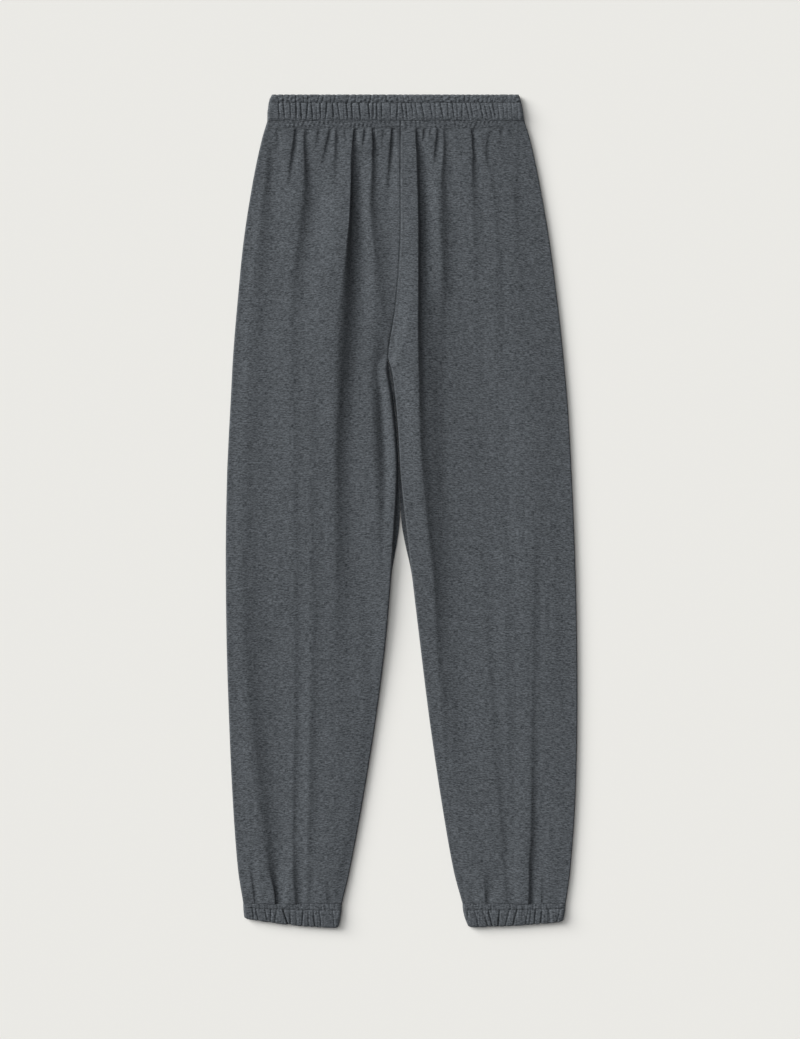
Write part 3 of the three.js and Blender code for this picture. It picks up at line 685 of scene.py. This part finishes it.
def panelSurface(y, edges, widths, level, middleSteps, heightOf, lips=()):
    left, leftRoll, right, rightRoll = edges
    flatX = denseColumns(middleSteps + 1, left + widths[0], right - widths[1], lips)[:, 1:-1]
    leftX, leftZ = rolledEdge(left, -1, leftRoll, widths[0], level, heightOf)
    rightX, rightZ = rolledEdge(right, 1, rightRoll, widths[1], level, heightOf)
    x = np.concatenate([leftX[:, ::-1], flatX, rightX], axis=1)
    z = np.concatenate([leftZ[:, ::-1], heightOf(flatX), rightZ], axis=1)
    return np.stack([x, np.broadcast_to(y[:, None], x.shape), z], axis=-1)


def upperPanel(side):
    y = spacedRows(legs["rowGaps"], legs["rows"])
    edges = panelEdges(side, y, 0)
    left, leftRoll, right, rightRoll = edges
    column = y[:, None]
    names = ("outerLeft", "innerLeft") if side == "left" else ("innerRight", "outerRight")
    heights = [edgeHeight["inner" if name.startswith("inner") else name] for name in names]
    leftHeight, rightHeight = [betweenRows(table, 1, y) for table in heights]
    rises = [legs["edgeRise"][name] for name in names]
    widths = [betweenRows(legs["roll"][name], 1, y) for name in names]
    long = folds[side + " long fold"]
    lip = alongTable([(row[0], row[1]) for row in long], y) + 2
    lips = [(lip, 2.4 * smooth(betweenRows(long, 2, y), 0, 8))]

    def edgeBlend(height, away, atEdge, roll, width, rise):
        reach = mix(1, smooth(away, width[:, None], rise), roll[:, None])
        return mix(atEdge[:, None], height, reach)

    def heightOf(x):
        rows = np.broadcast_to(column, x.shape)
        height, _ = upperCloth(x, rows)
        # the flat strip under the waistband stands proud, with fine puckers
        strip = smooth(column, legs["stripFoot"] - 0.4, legs["stripFoot"] + 1.2)
        height = mix(height, legs["stripHigh"] + legs["stripPucker"] * ripple(x, rows, 3.6, 15, 1.3), strip)
        height = edgeBlend(height, x - left[:, None], leftHeight, leftRoll, widths[0], rises[0])
        height = edgeBlend(height, right[:, None] - x, rightHeight, rightRoll, widths[1], rises[1])
        # the cloth dips into the rise seam, the waist seam and the cuff seam
        seam = smooth(y, legs["crotch"] - 12, legs["crotch"] + 2)[:, None]
        toSeam = right[:, None] - x if side == "left" else x - left[:, None]
        height = height - legs["riseDip"][0] * seam * bell(toSeam, legs["riseDip"][1])
        height = height - legs["cuffDip"][0] * bell(column - legs["foot"], legs["cuffDip"][1])
        stitched = bell(column - legs["stripFoot"] - 1.4, legs["stitchDip"][1])
        return height - legs["stitchDip"][0] * stitched

    points = panelSurface(y, edges, widths, legs["seamHeight"], legs["middleSteps"], heightOf, lips)
    x = points[..., 0]
    _, shift = upperCloth(x, points[..., 1])
    points[..., 0] = x + shift * smooth(x - left[:, None], 2, 12) * smooth(right[:, None] - x, 2, 12)
    return points


underGathers = {
    "left": {"waist": scatteredGathers(-168, -2, 20, 51), "ankle": scatteredGathers(-196, -76, 7, 52)},
    "right": {"waist": scatteredGathers(0, 152, 19, 53), "ankle": scatteredGathers(78, 203, 7, 54)},
}


def underPanel(side):
    y = spacedRows(legs["underRowGaps"], legs["underRows"])
    # the under panels close the gap between the legs: real back cloth near the crotch, and lower down a dark
    # sheet standing in for shade (painted shade)
    edges = panelEdges(side, y, 1)
    left, _, right, _ = edges
    gathers = underGathers[side]

    def heightOf(x):
        # the floor presses it flat, apart from gathers at the waist and the ankle and soft puckers
        rows = np.broadcast_to(y[:, None], x.shape)
        waist = gatherRelief(gathers["waist"], x, 1 - smooth(rows, 380, 486), 5) * smooth(rows, 400, 480)
        ankle = gatherRelief(gathers["ankle"], x, smooth(rows, -486, -400), 7) * smooth(-rows, 380, 480)
        pucker = np.maximum(ripple(x, rows, 30, 21, 5) - 0.3, 0) * 0.8
        clear = smooth(x - left[:, None], 4, 14) * smooth(right[:, None] - x, 4, 14)
        return (np.clip(waist + ankle, 0, 1.2) * 1.3 + pucker) * clear

    widths = [np.full(y.shape, legs["underRoll"])] * 2
    return panelSurface(y, edges, widths, legs["underRoll"], legs["underSteps"], heightOf)


def clothPlace(points, side):
    # where each point lies on the flat cloth, whose courses lie square to the leg
    x, y, z = points[..., 0], points[..., 1], points[..., 2]
    step = np.hypot(np.diff(x, axis=1), np.diff(z, axis=1))
    walked = np.concatenate([np.zeros((len(x), 1)), np.cumsum(step, axis=1)], axis=1)
    middle = x.shape[1] // 2
    u = walked - walked[:, middle:middle + 1] + x[:, middle:middle + 1]
    return np.stack([u, y - legs["slant"][side] * u * smooth(legs["top"] - y, 0, 260)], axis=-1)


pieces = {}
surfaces = {}
for side in ("left", "right"):
    upper = upperPanel(side)
    surfaces[side] = upper
    pieces["front_" + side] = makeShell("front_" + side + "_cloth", upper, clothPlace(upper, side),
                                        legs["wall"], legs["coarser"], panelKnit)
    under = underPanel(side)[:, ::-1]
    pieces["back_" + side] = makeShell("back_" + side + "_cloth", under, clothPlace(under, side),
                                       legs["wall"], legs["coarser"], panelKnit, legs["underCeiling"])
    print("leg panels done:", side)


# The elastics: the waistband and the cuffs are flat tubes with gathers. A ring is built at each
# step from the open edge or the seam: over the top from left to right and back underneath.

underShift = 700  # the under side takes its knit from another stretch of the cloth
arcLong = 3


def ringOf(spec, ends, high, low, along):
    start, end = ends[0] + spec["round"], ends[1] - spec["round"]
    centre = spec["centre"]
    overX = mix(start, end, np.linspace(0, 1, spec["across"] + 1)[:-1])
    underX = mix(end, start, np.linspace(0, 1, spec["under"] + 1)[1:-1])
    turn = np.linspace(math.pi / 2, -math.pi / 2, spec["arc"] + 1)
    back = turn[::-1][:-1]

    def arcHeight(x, turns):
        upper, lower = high(np.array([x]))[0], low(np.array([x]))[0]
        return np.where(turns > 0, mix(centre, upper, np.sin(turns)), mix(centre, lower, -np.sin(turns)))

    x = np.concatenate([overX, end + spec["round"] * np.cos(turn),
                        underX, start - spec["round"] * np.cos(back)])
    z = np.concatenate([high(overX), arcHeight(end, turn), low(underX), arcHeight(start, back)])
    half = spec["slot"] / 2
    turns = np.concatenate([np.full(len(overX), math.pi / 2), turn,
                            np.full(len(underX), -math.pi / 2), back])
    side = np.sign(x - (start + end) / 2)
    insideX = np.clip(x, start, end) + half * np.cos(turns) * side
    flat = np.concatenate([overX, end + arcLong * (math.pi / 2 - turn),
                           underX + underShift, underShift - 10 - arcLong * back])
    return (np.stack([x, along(x), z], axis=-1),
            np.stack([insideX, along(insideX), centre + half * np.sin(turns)], axis=-1),
            np.stack([flat * spec["fullness"], along(x)], axis=-1))


def makeElastic(name, spec, steps, ringAt, material):
    # a gathered tube from the ring at each step: its outside, its inside and its place on the cloth
    outer, inner, flat = (list(rings) for rings in zip(*[ringAt(step) for step in steps]))
    inside = np.array([inner[0], inner[-1]])[:, ::spec["coarser"]]
    return makeTube(name, np.array(outer), inside, np.array(flat), spec["coarser"], material)


band = {
    "top": 519.2, "seam": 486.4, "stitch": 508.5,
    "left": [(519.2, -161.5), (514, -164.3), (508.5, -165.7), (497, -167.2), (486.4, -167.3)],
    "right": [(519.2, 146), (514, 148.4), (508.5, 149.6), (497, 151.9), (486.4, 153.2)],
    "level": [(519.2, 10.6), (516, 11.3), (512, 11.2), (509.6, 10.4), (507.4, 10.4), (504, 12), (497, 12.4),
              (490, 11.8), (488, 11), (486.4, 10.1)],
    "slot": 0.6, "round": 4.2, "centre": 5.7, "rim": 2.2, "edges": (8.2, 3.2), "underDeep": 1.4,
    "stitchDip": (0.7, 0.7), "pucker": 0.2, "wave": 0.1,
    "strength": [(486.4, 0.1), (488.5, 0.3), (492, 0.85), (505, 1), (508.5, 0.6)],
    "rowGaps": [(519.2, 0.3), (516, 0.6), (510, 0.5), (507, 0.5), (502, 0.9), (490, 0.9), (486.4, 0.4)],
    "channelDeep": 3.3, "channelReach": 2.0, "headerDeep": 1.25, "headerReach": 1.9, "scallop": 1.0,
    "across": 600, "under": 160, "arc": 10, "rows": 61, "coarser": 5,
    "fullness": 1.25,
}
# each gather is (x at the top, x at the foot, depth at the top, depth at the foot)
channelGathers = [
    (-153, -151.5, 0.8, 0.4), (-147, -144.5, 0.8, 0.5), (-138.5, -137, 0.8, 0.4), (-131, -130.5, 1.1, 0.6),
    (-125.5, -124, 0.9, 0.9), (-116.5, -118, 1, 0.7), (-112, -110, 0.8, 0.8), (-105.5, -105, 0.2, 0.4),
    (-101, -100, 0.9, 0.6), (-92.5, -94.5, 1, 0.6), (-85.5, -84, 0.9, 0.8), (-79.5, -76, 0.7, 0.6),
    (-72, -70.5, 0.1, 0.4), (-68.5, -66, 1.2, 0.6), (-62, -60.5, 1, 0.8), (-52.5, -50.5, 1, 1),
    (-41, -39, 0.8, 0.9), (-35, -34.5, 0.9, 0.5), (-30.5, -30, 0.7, 0.8), (-24.5, -24, 0.7, 0.6),
    (-13.5, -13, 0.5, 0.4), (-4.5, -5.5, 0.7, 0.8), (0.5, 3.5, 0.9, 0.6), (5.5, 8, 0.7, 0.6),
    (12.5, 15.5, 0.6, 0.3), (17.5, 21, 0.7, 0.2), (25, 29.5, 0.8, 0.5), (36, 39.5, 0.6, 0.4),
    (42, 43.5, 0.6, 0.1), (48.5, 53, 0.7, 0.6), (57.5, 59, 0.4, 0.4), (63.5, 66.5, 0.7, 0.6),
    (69, 71, 0.5, 0.1), (76, 75.5, 0.6, 0.4), (80.5, 85, 0.6, 0.7), (86, 90, 0.6, 0.5),
    (93, 96, 0.4, 0.2), (98, 102.5, 0.8, 0.6), (103, 108.5, 0.5, 0.6), (109, 114, 0.4, 0.5),
    (113.5, 118, 0.7, 0.5), (120, 122.5, 0.4, 0.5), (126.5, 128.5, 0.3, 0.2), (131.5, 132.5, 0.2, 0.4),
    (137, 138.5, 0.4, 0.2), (144.5, 145.5, 0.1, 0.3),
]
headerGathers = [
    (-155, -152, 0.8, 0.8), (-147, -147, 0.6, 0.9), (-139.5, -139.5, 0.4, 0.7), (-131, -131.5, 0.9, 1.1),
    (-122.5, -121, 0.5, 1), (-116, -116, 1, 1.1), (-101, -105, 0.8, 0.9), (-96, -99, 0.5, 0.9),
    (-87, -88, 0.5, 0.8), (-81.5, -83.5, 0.6, 0.5), (-73.5, -74.5, 0.3, 0.3), (-64, -67, 0.8, 1),
    (-55.5, -57.5, 0.7, 1), (-47.5, -50, 0.4, 0.4), (-37, -39, 0.8, 1), (-28.5, -28.5, 0.4, 0.3),
    (-18.5, -17.5, 0.7, 0.5), (-4.5, -3.5, 0.6, 0.9), (2, 4, 0.6, 0.8), (8.5, 11, 0.4, 0.3),
    (16, 17.5, 0.4, 0.4), (23.5, 27.5, 0.5, 0.6), (32, 35.5, 0.2, 0.6), (40.5, 41.5, 0.5, 0.4),
    (50, 53, 0.6, 0.6), (60, 63, 0.5, 0.5), (67.5, 69, 0.5, 0.6), (73.5, 72, 0.4, 0.4),
    (79.5, 78.5, 0.7, 0.8), (87.5, 83.5, 0.8, 0.8), (92, 91, 0.3, 0.5), (97.5, 96.5, 0.7, 0.6),
    (103, 101.5, 0.5, 0.6), (110.5, 107, 0.6, 0.5), (116, 113, 0.7, 0.5), (121, 119.5, 0.6, 0.3),
    (133, 128.5, 0.6, 0.5), (140.5, 142, 0.3, 0.3),
]
bandUnderGathers = scatteredGathers(-162, 148, 42, 61)


def bandTop(x, y):
    # the upper side of the waistband
    t = np.clip((band["stitch"] - y) / (band["stitch"] - band["seam"]), 0, 1)
    channel = gatherRelief(channelGathers, x, t, band["channelReach"])
    strength = betweenRows(band["strength"], 1, y)
    t = np.clip((band["top"] - y) / (band["top"] - band["stitch"]), 0, 1)
    header = gatherRelief(headerGathers, x, t, band["headerReach"])
    above = smooth(y, band["stitch"] - 0.7, band["stitch"] + 0.9)
    relief = mix(channel * band["channelDeep"] * strength, header * band["headerDeep"], above)
    pinch = band["stitchDip"][0] * bell(y - band["stitch"], band["stitchDip"][1])
    fine = band["pucker"] * ripple(x, y, 3.4, 62, 1.3) * mix(0.8, 2.4, above)
    return betweenRows(band["level"], 1, y) - relief - pinch + fine + band["wave"] * ripple(x, y, 11, 63, 1.5)


def bandRing(y):
    rim = min((band["top"] - y) / band["rim"], 1)
    rounded = math.sqrt(max(1 - (1 - rim) ** 2, 0))
    t = np.clip((band["top"] - y) / (band["top"] - band["seam"]), 0, 1)

    def high(x):
        return mix(band["edges"][0], bandTop(x, y), rounded)

    def low(x):
        return mix(band["edges"][1], band["underDeep"] * gatherRelief(bandUnderGathers, x, t, 3.4), rounded)

    def along(x):
        # the open edge is scalloped by its gathers
        dip = gatherRelief(headerGathers, x, 0.0, 2.6) * band["scallop"] * (1 - rim)
        return y - np.clip(dip, 0, 1.6) * smooth(x, -165, -158) * smooth(-x, -149, -142)

    ends = (betweenRows(band["left"], 1, y), betweenRows(band["right"], 1, y))
    return ringOf(band, ends, high, low, along)


bandSteps = spacedRows(band["rowGaps"], band["rows"])
pieces["waistband"] = makeElastic("waistband_cloth", band, bandSteps, bandRing, bandKnit)
print("waistband done")

cuffs = {
    "top": -488.8, "slot": 0.6, "round": 4.2, "centre": 4.5, "rim": 2.2, "edges": (6.4, 2.6),
    "high": 27, "underDeep": 1.2, "stitchDip": (0.6, 0.03), "pucker": 0.28, "scallop": 1.5,
    "bulge": 1.8, "innerCorner": (5, 1.8),  # a cuff's hem bows out, and its inner corner is rounded
    "rowGaps": [(1, 0.02), (0.75, 0.03), (0.68, 0.02), (0.4, 0.03), (0.12, 0.02), (0, 0.01)],
    "strip": 0.28, "deep": 2.9, "reach": 2.1, "stripDeep": 1.1, "stripReach": 2.2,
    "level": [(0, 8.6), (0.06, 9.2), (0.2, 9.3), (0.28, 8.6), (0.36, 9.4), (0.6, 9.8), (0.9, 9.4),
              (1, 8.8)],
    "across": 232, "under": 72, "arc": 8, "rows": 49, "coarser": 4,
    "fullness": 1.25,
}
cuffShapes = {
    "left": {
        "outerTop": -197.4, "innerTop": -74.4, "outerFoot": -196, "innerFoot": -78.6,
        "outerDeep": 18.6, "innerDeep": 30.4, "corner": 5, "under": scatteredGathers(-190, -80, 13, 71),
        "gathers": [
            (-185.5, -183.5, 0.8, 0.3), (-181.5, -178, 0.7, 0.7), (-170, -166.5, 0.6, 0.5),
            (-162.5, -163, 0.7, 0.7), (-155.5, -157.5, 0.6, 0.4), (-147.5, -141.5, 1.1, 1.5),
            (-138.5, -138, 0.1, 0.9), (-131, -130.5, 0.3, 0.3), (-122, -124, 0.6, 0.5),
            (-116, -115.5, 0.1, 0.5), (-110, -107.5, 0.5, 0.9), (-102, -99.5, 0.5, 0.4),
            (-85.5, -83, 0.4, 0.3),
        ],
        "strip": [
            (-194.5, -194.5, 0.6, 0.6), (-185.5, -185.5, 0.7, 0.7), (-175.5, -175.5, 0.7, 0.7),
            (-167, -167, 0.6, 0.6), (-156.5, -152.5, 0.8, 1), (-142, -142, 0.4, 0.4),
            (-123.5, -127, 0.9, 0.7), (-114.5, -114, 0.9, 0.7), (-99.5, -99.5, 0.6, 0.7),
            (-94.5, -94.5, 0.4, 0.6), (-83, -83, 0.5, 0.6),
        ],
    },
    "right": {
        "outerTop": 204.4, "innerTop": 76, "outerFoot": 201.6, "innerFoot": 83,
        "outerDeep": 23, "innerDeep": 29.6, "corner": 8, "under": scatteredGathers(84, 200, 13, 72),
        "gathers": [
            (82, 84.5, 0.5, 0.4), (91.5, 96.5, 0.4, 0.4), (101.5, 108, 0.2, 0.9), (108.5, 113.5, 0.8, 0.9),
            (122.5, 120.5, 0.8, 1.2), (134.5, 129.5, 0.5, 0.5), (144, 139, 0.7, 0.9), (158, 154.5, 0.3, 0.4),
            (161.5, 160, 0.4, 0.4), (167.5, 165.5, 0.7, 0.6), (175.5, 173.5, 0.5, 0.9), (184, 185, 0.6, 0.2),
            (198, 193.5, 0.3, 0.4),
        ],
        "strip": [
            (86.5, 83.5, 0.8, 0.5), (97.5, 95.5, 0.9, 0.6), (112.5, 111, 0.7, 0.7), (136, 136, 0.5, 0.8),
            (144.5, 144.5, 0.5, 0.9), (153, 153, 0.7, 0.3), (164.5, 164, 0.7, 0.9), (173, 173, 0.3, 0.3),
            (182, 182, 0.4, 0.7), (197.5, 201.5, 0.6, 0.5),
        ],
    },
}


def cuffTop(cuff, x, t):
    # the upper side of a cuff, t from 0 at its seam to 1 at its open edge
    channel = gatherRelief(cuff["gathers"], x, np.clip((t - cuffs["strip"]) / 0.7, 0, 1), cuffs["reach"])
    strip = gatherRelief(cuff["strip"], x, np.clip(t / cuffs["strip"], 0, 1), cuffs["stripReach"])
    below = smooth(t, cuffs["strip"] - 0.03, cuffs["strip"] + 0.04)
    relief = mix(strip * cuffs["stripDeep"], channel * cuffs["deep"], below)
    pinch = cuffs["stitchDip"][0] * bell(t - cuffs["strip"], cuffs["stitchDip"][1])
    fine = cuffs["pucker"] * ripple(x, t * cuffs["high"], 3.8, 73, 1.2)
    return betweenRows(cuffs["level"], 1, t) - relief - pinch + fine


def cuffSides(cuff, t):
    return [mix(cuff[side + "Top"], cuff[side + "Foot"], t ** 2) for side in ("outer", "inner")]


def cuffFall(cuff, x, t):
    # how far below the seam the cuff reaches at x
    outer, inner = cuffSides(cuff, t)
    inward = np.clip((x - outer) / (inner - outer), 0, 1)
    corner = 1 - np.clip(inward * abs(inner - outer) / cuff["corner"], 0, 1)
    innerCorner = 1 - np.clip((1 - inward) * abs(inner - outer) / cuffs["innerCorner"][0], 0, 1)
    deep = mix(cuff["outerDeep"], cuff["innerDeep"], 1 - (1 - inward) ** cuffs["bulge"])
    return t * (deep - 0.3 * cuff["corner"] * corner ** 2 - cuffs["innerCorner"][1] * innerCorner ** 2)


def cuffRing(cuff, t):
    rim = min((1 - t) * cuffs["high"] / cuffs["rim"], 1)
    rounded = math.sqrt(max(1 - (1 - rim) ** 2, 0))
    ends = sorted(cuffSides(cuff, t))

    def high(x):
        return mix(cuffs["edges"][0], cuffTop(cuff, x, t), rounded)

    def low(x):
        return mix(cuffs["edges"][1], cuffs["underDeep"] * gatherRelief(cuff["under"], x, t, 3.6), rounded)

    def along(x):
        inside = smooth(x, ends[0] + 3, ends[0] + 10) * smooth(-x, 3 - ends[1], 10 - ends[1])
        dip = gatherRelief(cuff["gathers"], x, 1.0, 3.2) * cuffs["scallop"] * (1 - rim)
        return cuffs["top"] - cuffFall(cuff, x, t) + np.clip(dip, 0, 2.4) * inside

    return ringOf(cuffs, ends, high, low, along)


cuffSteps = 1 - spacedRows(cuffs["rowGaps"], cuffs["rows"])
for side, cuff in cuffShapes.items():
    pieces["cuff_" + side] = makeElastic("cuff_" + side + "_cloth", cuffs, cuffSteps,
                                         lambda t: cuffRing(cuff, t), cuffKnit)
print("cuffs done")


# The sewing: rows of stitches, made by one node tree from the line each row follows

stitches = {
    "apart": 3.1, "long": 2.3, "thick": 0.5, "seed": 4,
    "lift": 0.05, "riseLift": 0.02,  # how far a thread's middle lies above the cloth
    "stripLines": (484.6, 478.7),
    "fromRise": 3.2,
}


def makeStitchTree():
    tree = bpy.data.node_groups.new("row of stitches", "GeometryNodeTree")
    addSockets(tree, "INPUT", {"Geometry": "Geometry", "Apart": "Float", "Long": "Float", "Thick": "Float",
                               "Seed": "Int", "Thread": "Material"})
    addSockets(tree, "OUTPUT", {"Geometry": "Geometry"})
    start = tree.nodes.new("NodeGroupInput").outputs
    end = tree.nodes.new("NodeGroupOutput").inputs
    line = addNode(tree, "GeometryNodeResampleCurve", {"mode": "LENGTH"},
                   {"Curve": start["Geometry"], "Length": start["Apart"]}).outputs[0]
    points = addNode(tree, "GeometryNodeCurveToPoints", {"mode": "EVALUATED"}, {"Curve": line})
    ball = {"Segments": 6, "Rings": 4, "Radius": 0.5}
    stitch = addNode(tree, "GeometryNodeMeshUVSphere", None, ball).outputs[0]
    slant = addNode(tree, "FunctionNodeRandomValue", {"data_type": "FLOAT"},
                    {"Min": -0.12, "Max": 0.12, "Seed": start["Seed"]})
    slanted = addNode(tree, "ShaderNodeCombineXYZ", None, {"Z": slant.outputs[1]}).outputs[0]
    turn = addNode(tree, "FunctionNodeAlignRotationToVector", {"axis": "X"},
                   {"Vector": points.outputs["Tangent"]})
    turned = addNode(tree, "FunctionNodeRotateRotation", {"rotation_space": "LOCAL"},
                     {0: turn.outputs[0], 1: slanted}).outputs[0]
    size = addNode(tree, "ShaderNodeCombineXYZ", None,
                   {"X": start["Long"], "Y": start["Thick"], "Z": start["Thick"]}).outputs[0]
    placed = addNode(tree, "GeometryNodeInstanceOnPoints", None,
                     {"Points": points.outputs["Points"], "Instance": stitch, "Rotation": turned,
                      "Scale": size})
    real = addNode(tree, "GeometryNodeRealizeInstances", None, {"Geometry": placed.outputs[0]}).outputs[0]
    soft = addNode(tree, "GeometryNodeSetShadeSmooth", None, {"Geometry": real}).outputs[0]
    done = addNode(tree, "GeometryNodeSetMaterial", None, {"Geometry": soft, "Material": start["Thread"]})
    tree.links.new(done.outputs[0], end["Geometry"])
    return tree


stitchTree = makeStitchTree()


def sew(name, lines):
    curve = bpy.data.curves.new(name + "_line", "CURVE")
    curve.dimensions = "3D"
    for line in lines:
        spline = curve.splines.new("POLY")
        spline.points.add(len(line) - 1)
        for point, place in zip(spline.points, line):
            point.co = (place[0] * mm, place[1] * mm, place[2] * mm, 1)
    row = linked(name + "_line", curve)
    change = row.modifiers.new("stitches", "NODES")
    change.node_group = stitchTree
    values = {name: stitches[name.lower()] * mm for name in ("Apart", "Long", "Thick")}
    values.update({"Seed": stitches["seed"], "Thread": threadLook})
    for item in stitchTree.interface.items_tree:
        if item.in_out == "INPUT" and item.name in values:
            change[item.identifier] = values[item.name]
    made = row.evaluated_get(bpy.context.evaluated_depsgraph_get())
    mesh = bpy.data.meshes.new_from_object(made)
    mesh.name = name
    bpy.data.objects.remove(row)
    bpy.data.curves.remove(curve)
    return linked(name, mesh)


def acrossPanel(side, y):
    # a line over the panel's upper cloth at y
    points = surfaces[side]
    row = int(np.argmin(np.abs(points[:, 0, 1] - y)))
    line = points[row, legs["arcSteps"] + 2:-legs["arcSteps"] - 2].copy()
    line[:, 2] += stitches["lift"]
    return line


def besideRise(side):
    # a line down the panel, beside the rise seam
    away = stitches["fromRise"]
    line = []
    for row in surfaces[side]:
        y = row[0, 1]
        if legs["crotch"] + 6 < y < legs["stripFoot"] - 2:
            x = row[-1, 0] - away if side == "left" else row[0, 0] + away
            line.append((x, y, np.interp(x, row[:, 0], row[:, 2]) + stitches["riseLift"]))
    return line


def acrossBand(y):
    x = np.linspace(betweenRows(band["left"], 1, y) + 5, betweenRows(band["right"], 1, y) - 5, 420)
    return np.stack([x, np.full(x.shape, y), bandTop(x, y) + stitches["lift"]], axis=-1)


def acrossCuff(side, t):
    cuff = cuffShapes[side]
    ends = sorted((cuff["outerTop"], cuff["innerTop"]))
    x = np.linspace(ends[0] + 6, ends[1] - 6, 200)
    return np.stack([x, cuffs["top"] - cuffFall(cuff, x, t), cuffTop(cuff, x, t) + stitches["lift"]], axis=-1)


sewing = {"waistband": sew("waistband_stitches", [acrossBand(band["stitch"])])}
for side in ("left", "right"):
    lines = [acrossPanel(side, y) for y in stitches["stripLines"]] + [besideRise(side)]
    sewing["front_" + side] = sew("front_" + side + "_stitches", lines)
for side in ("left", "right"):
    sewing["cuff_" + side] = sew("cuff_" + side + "_stitches", [acrossCuff(side, cuffs["strip"])])
print("sewing done")

# Each piece hides its solid in the frame and is attached to the root with its stitches; the panel that each
# front rests on is looked up
restsOn = {"front_left": ["back_left"], "front_right": ["back_right"]}
for node, piece in pieces.items():
    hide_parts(node)
    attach(piece, "root")
    if node in sewing:
        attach(sewing[node], "root")
    under = [pieces[name] for name in restsOn.get(node, [])]
    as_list(under)
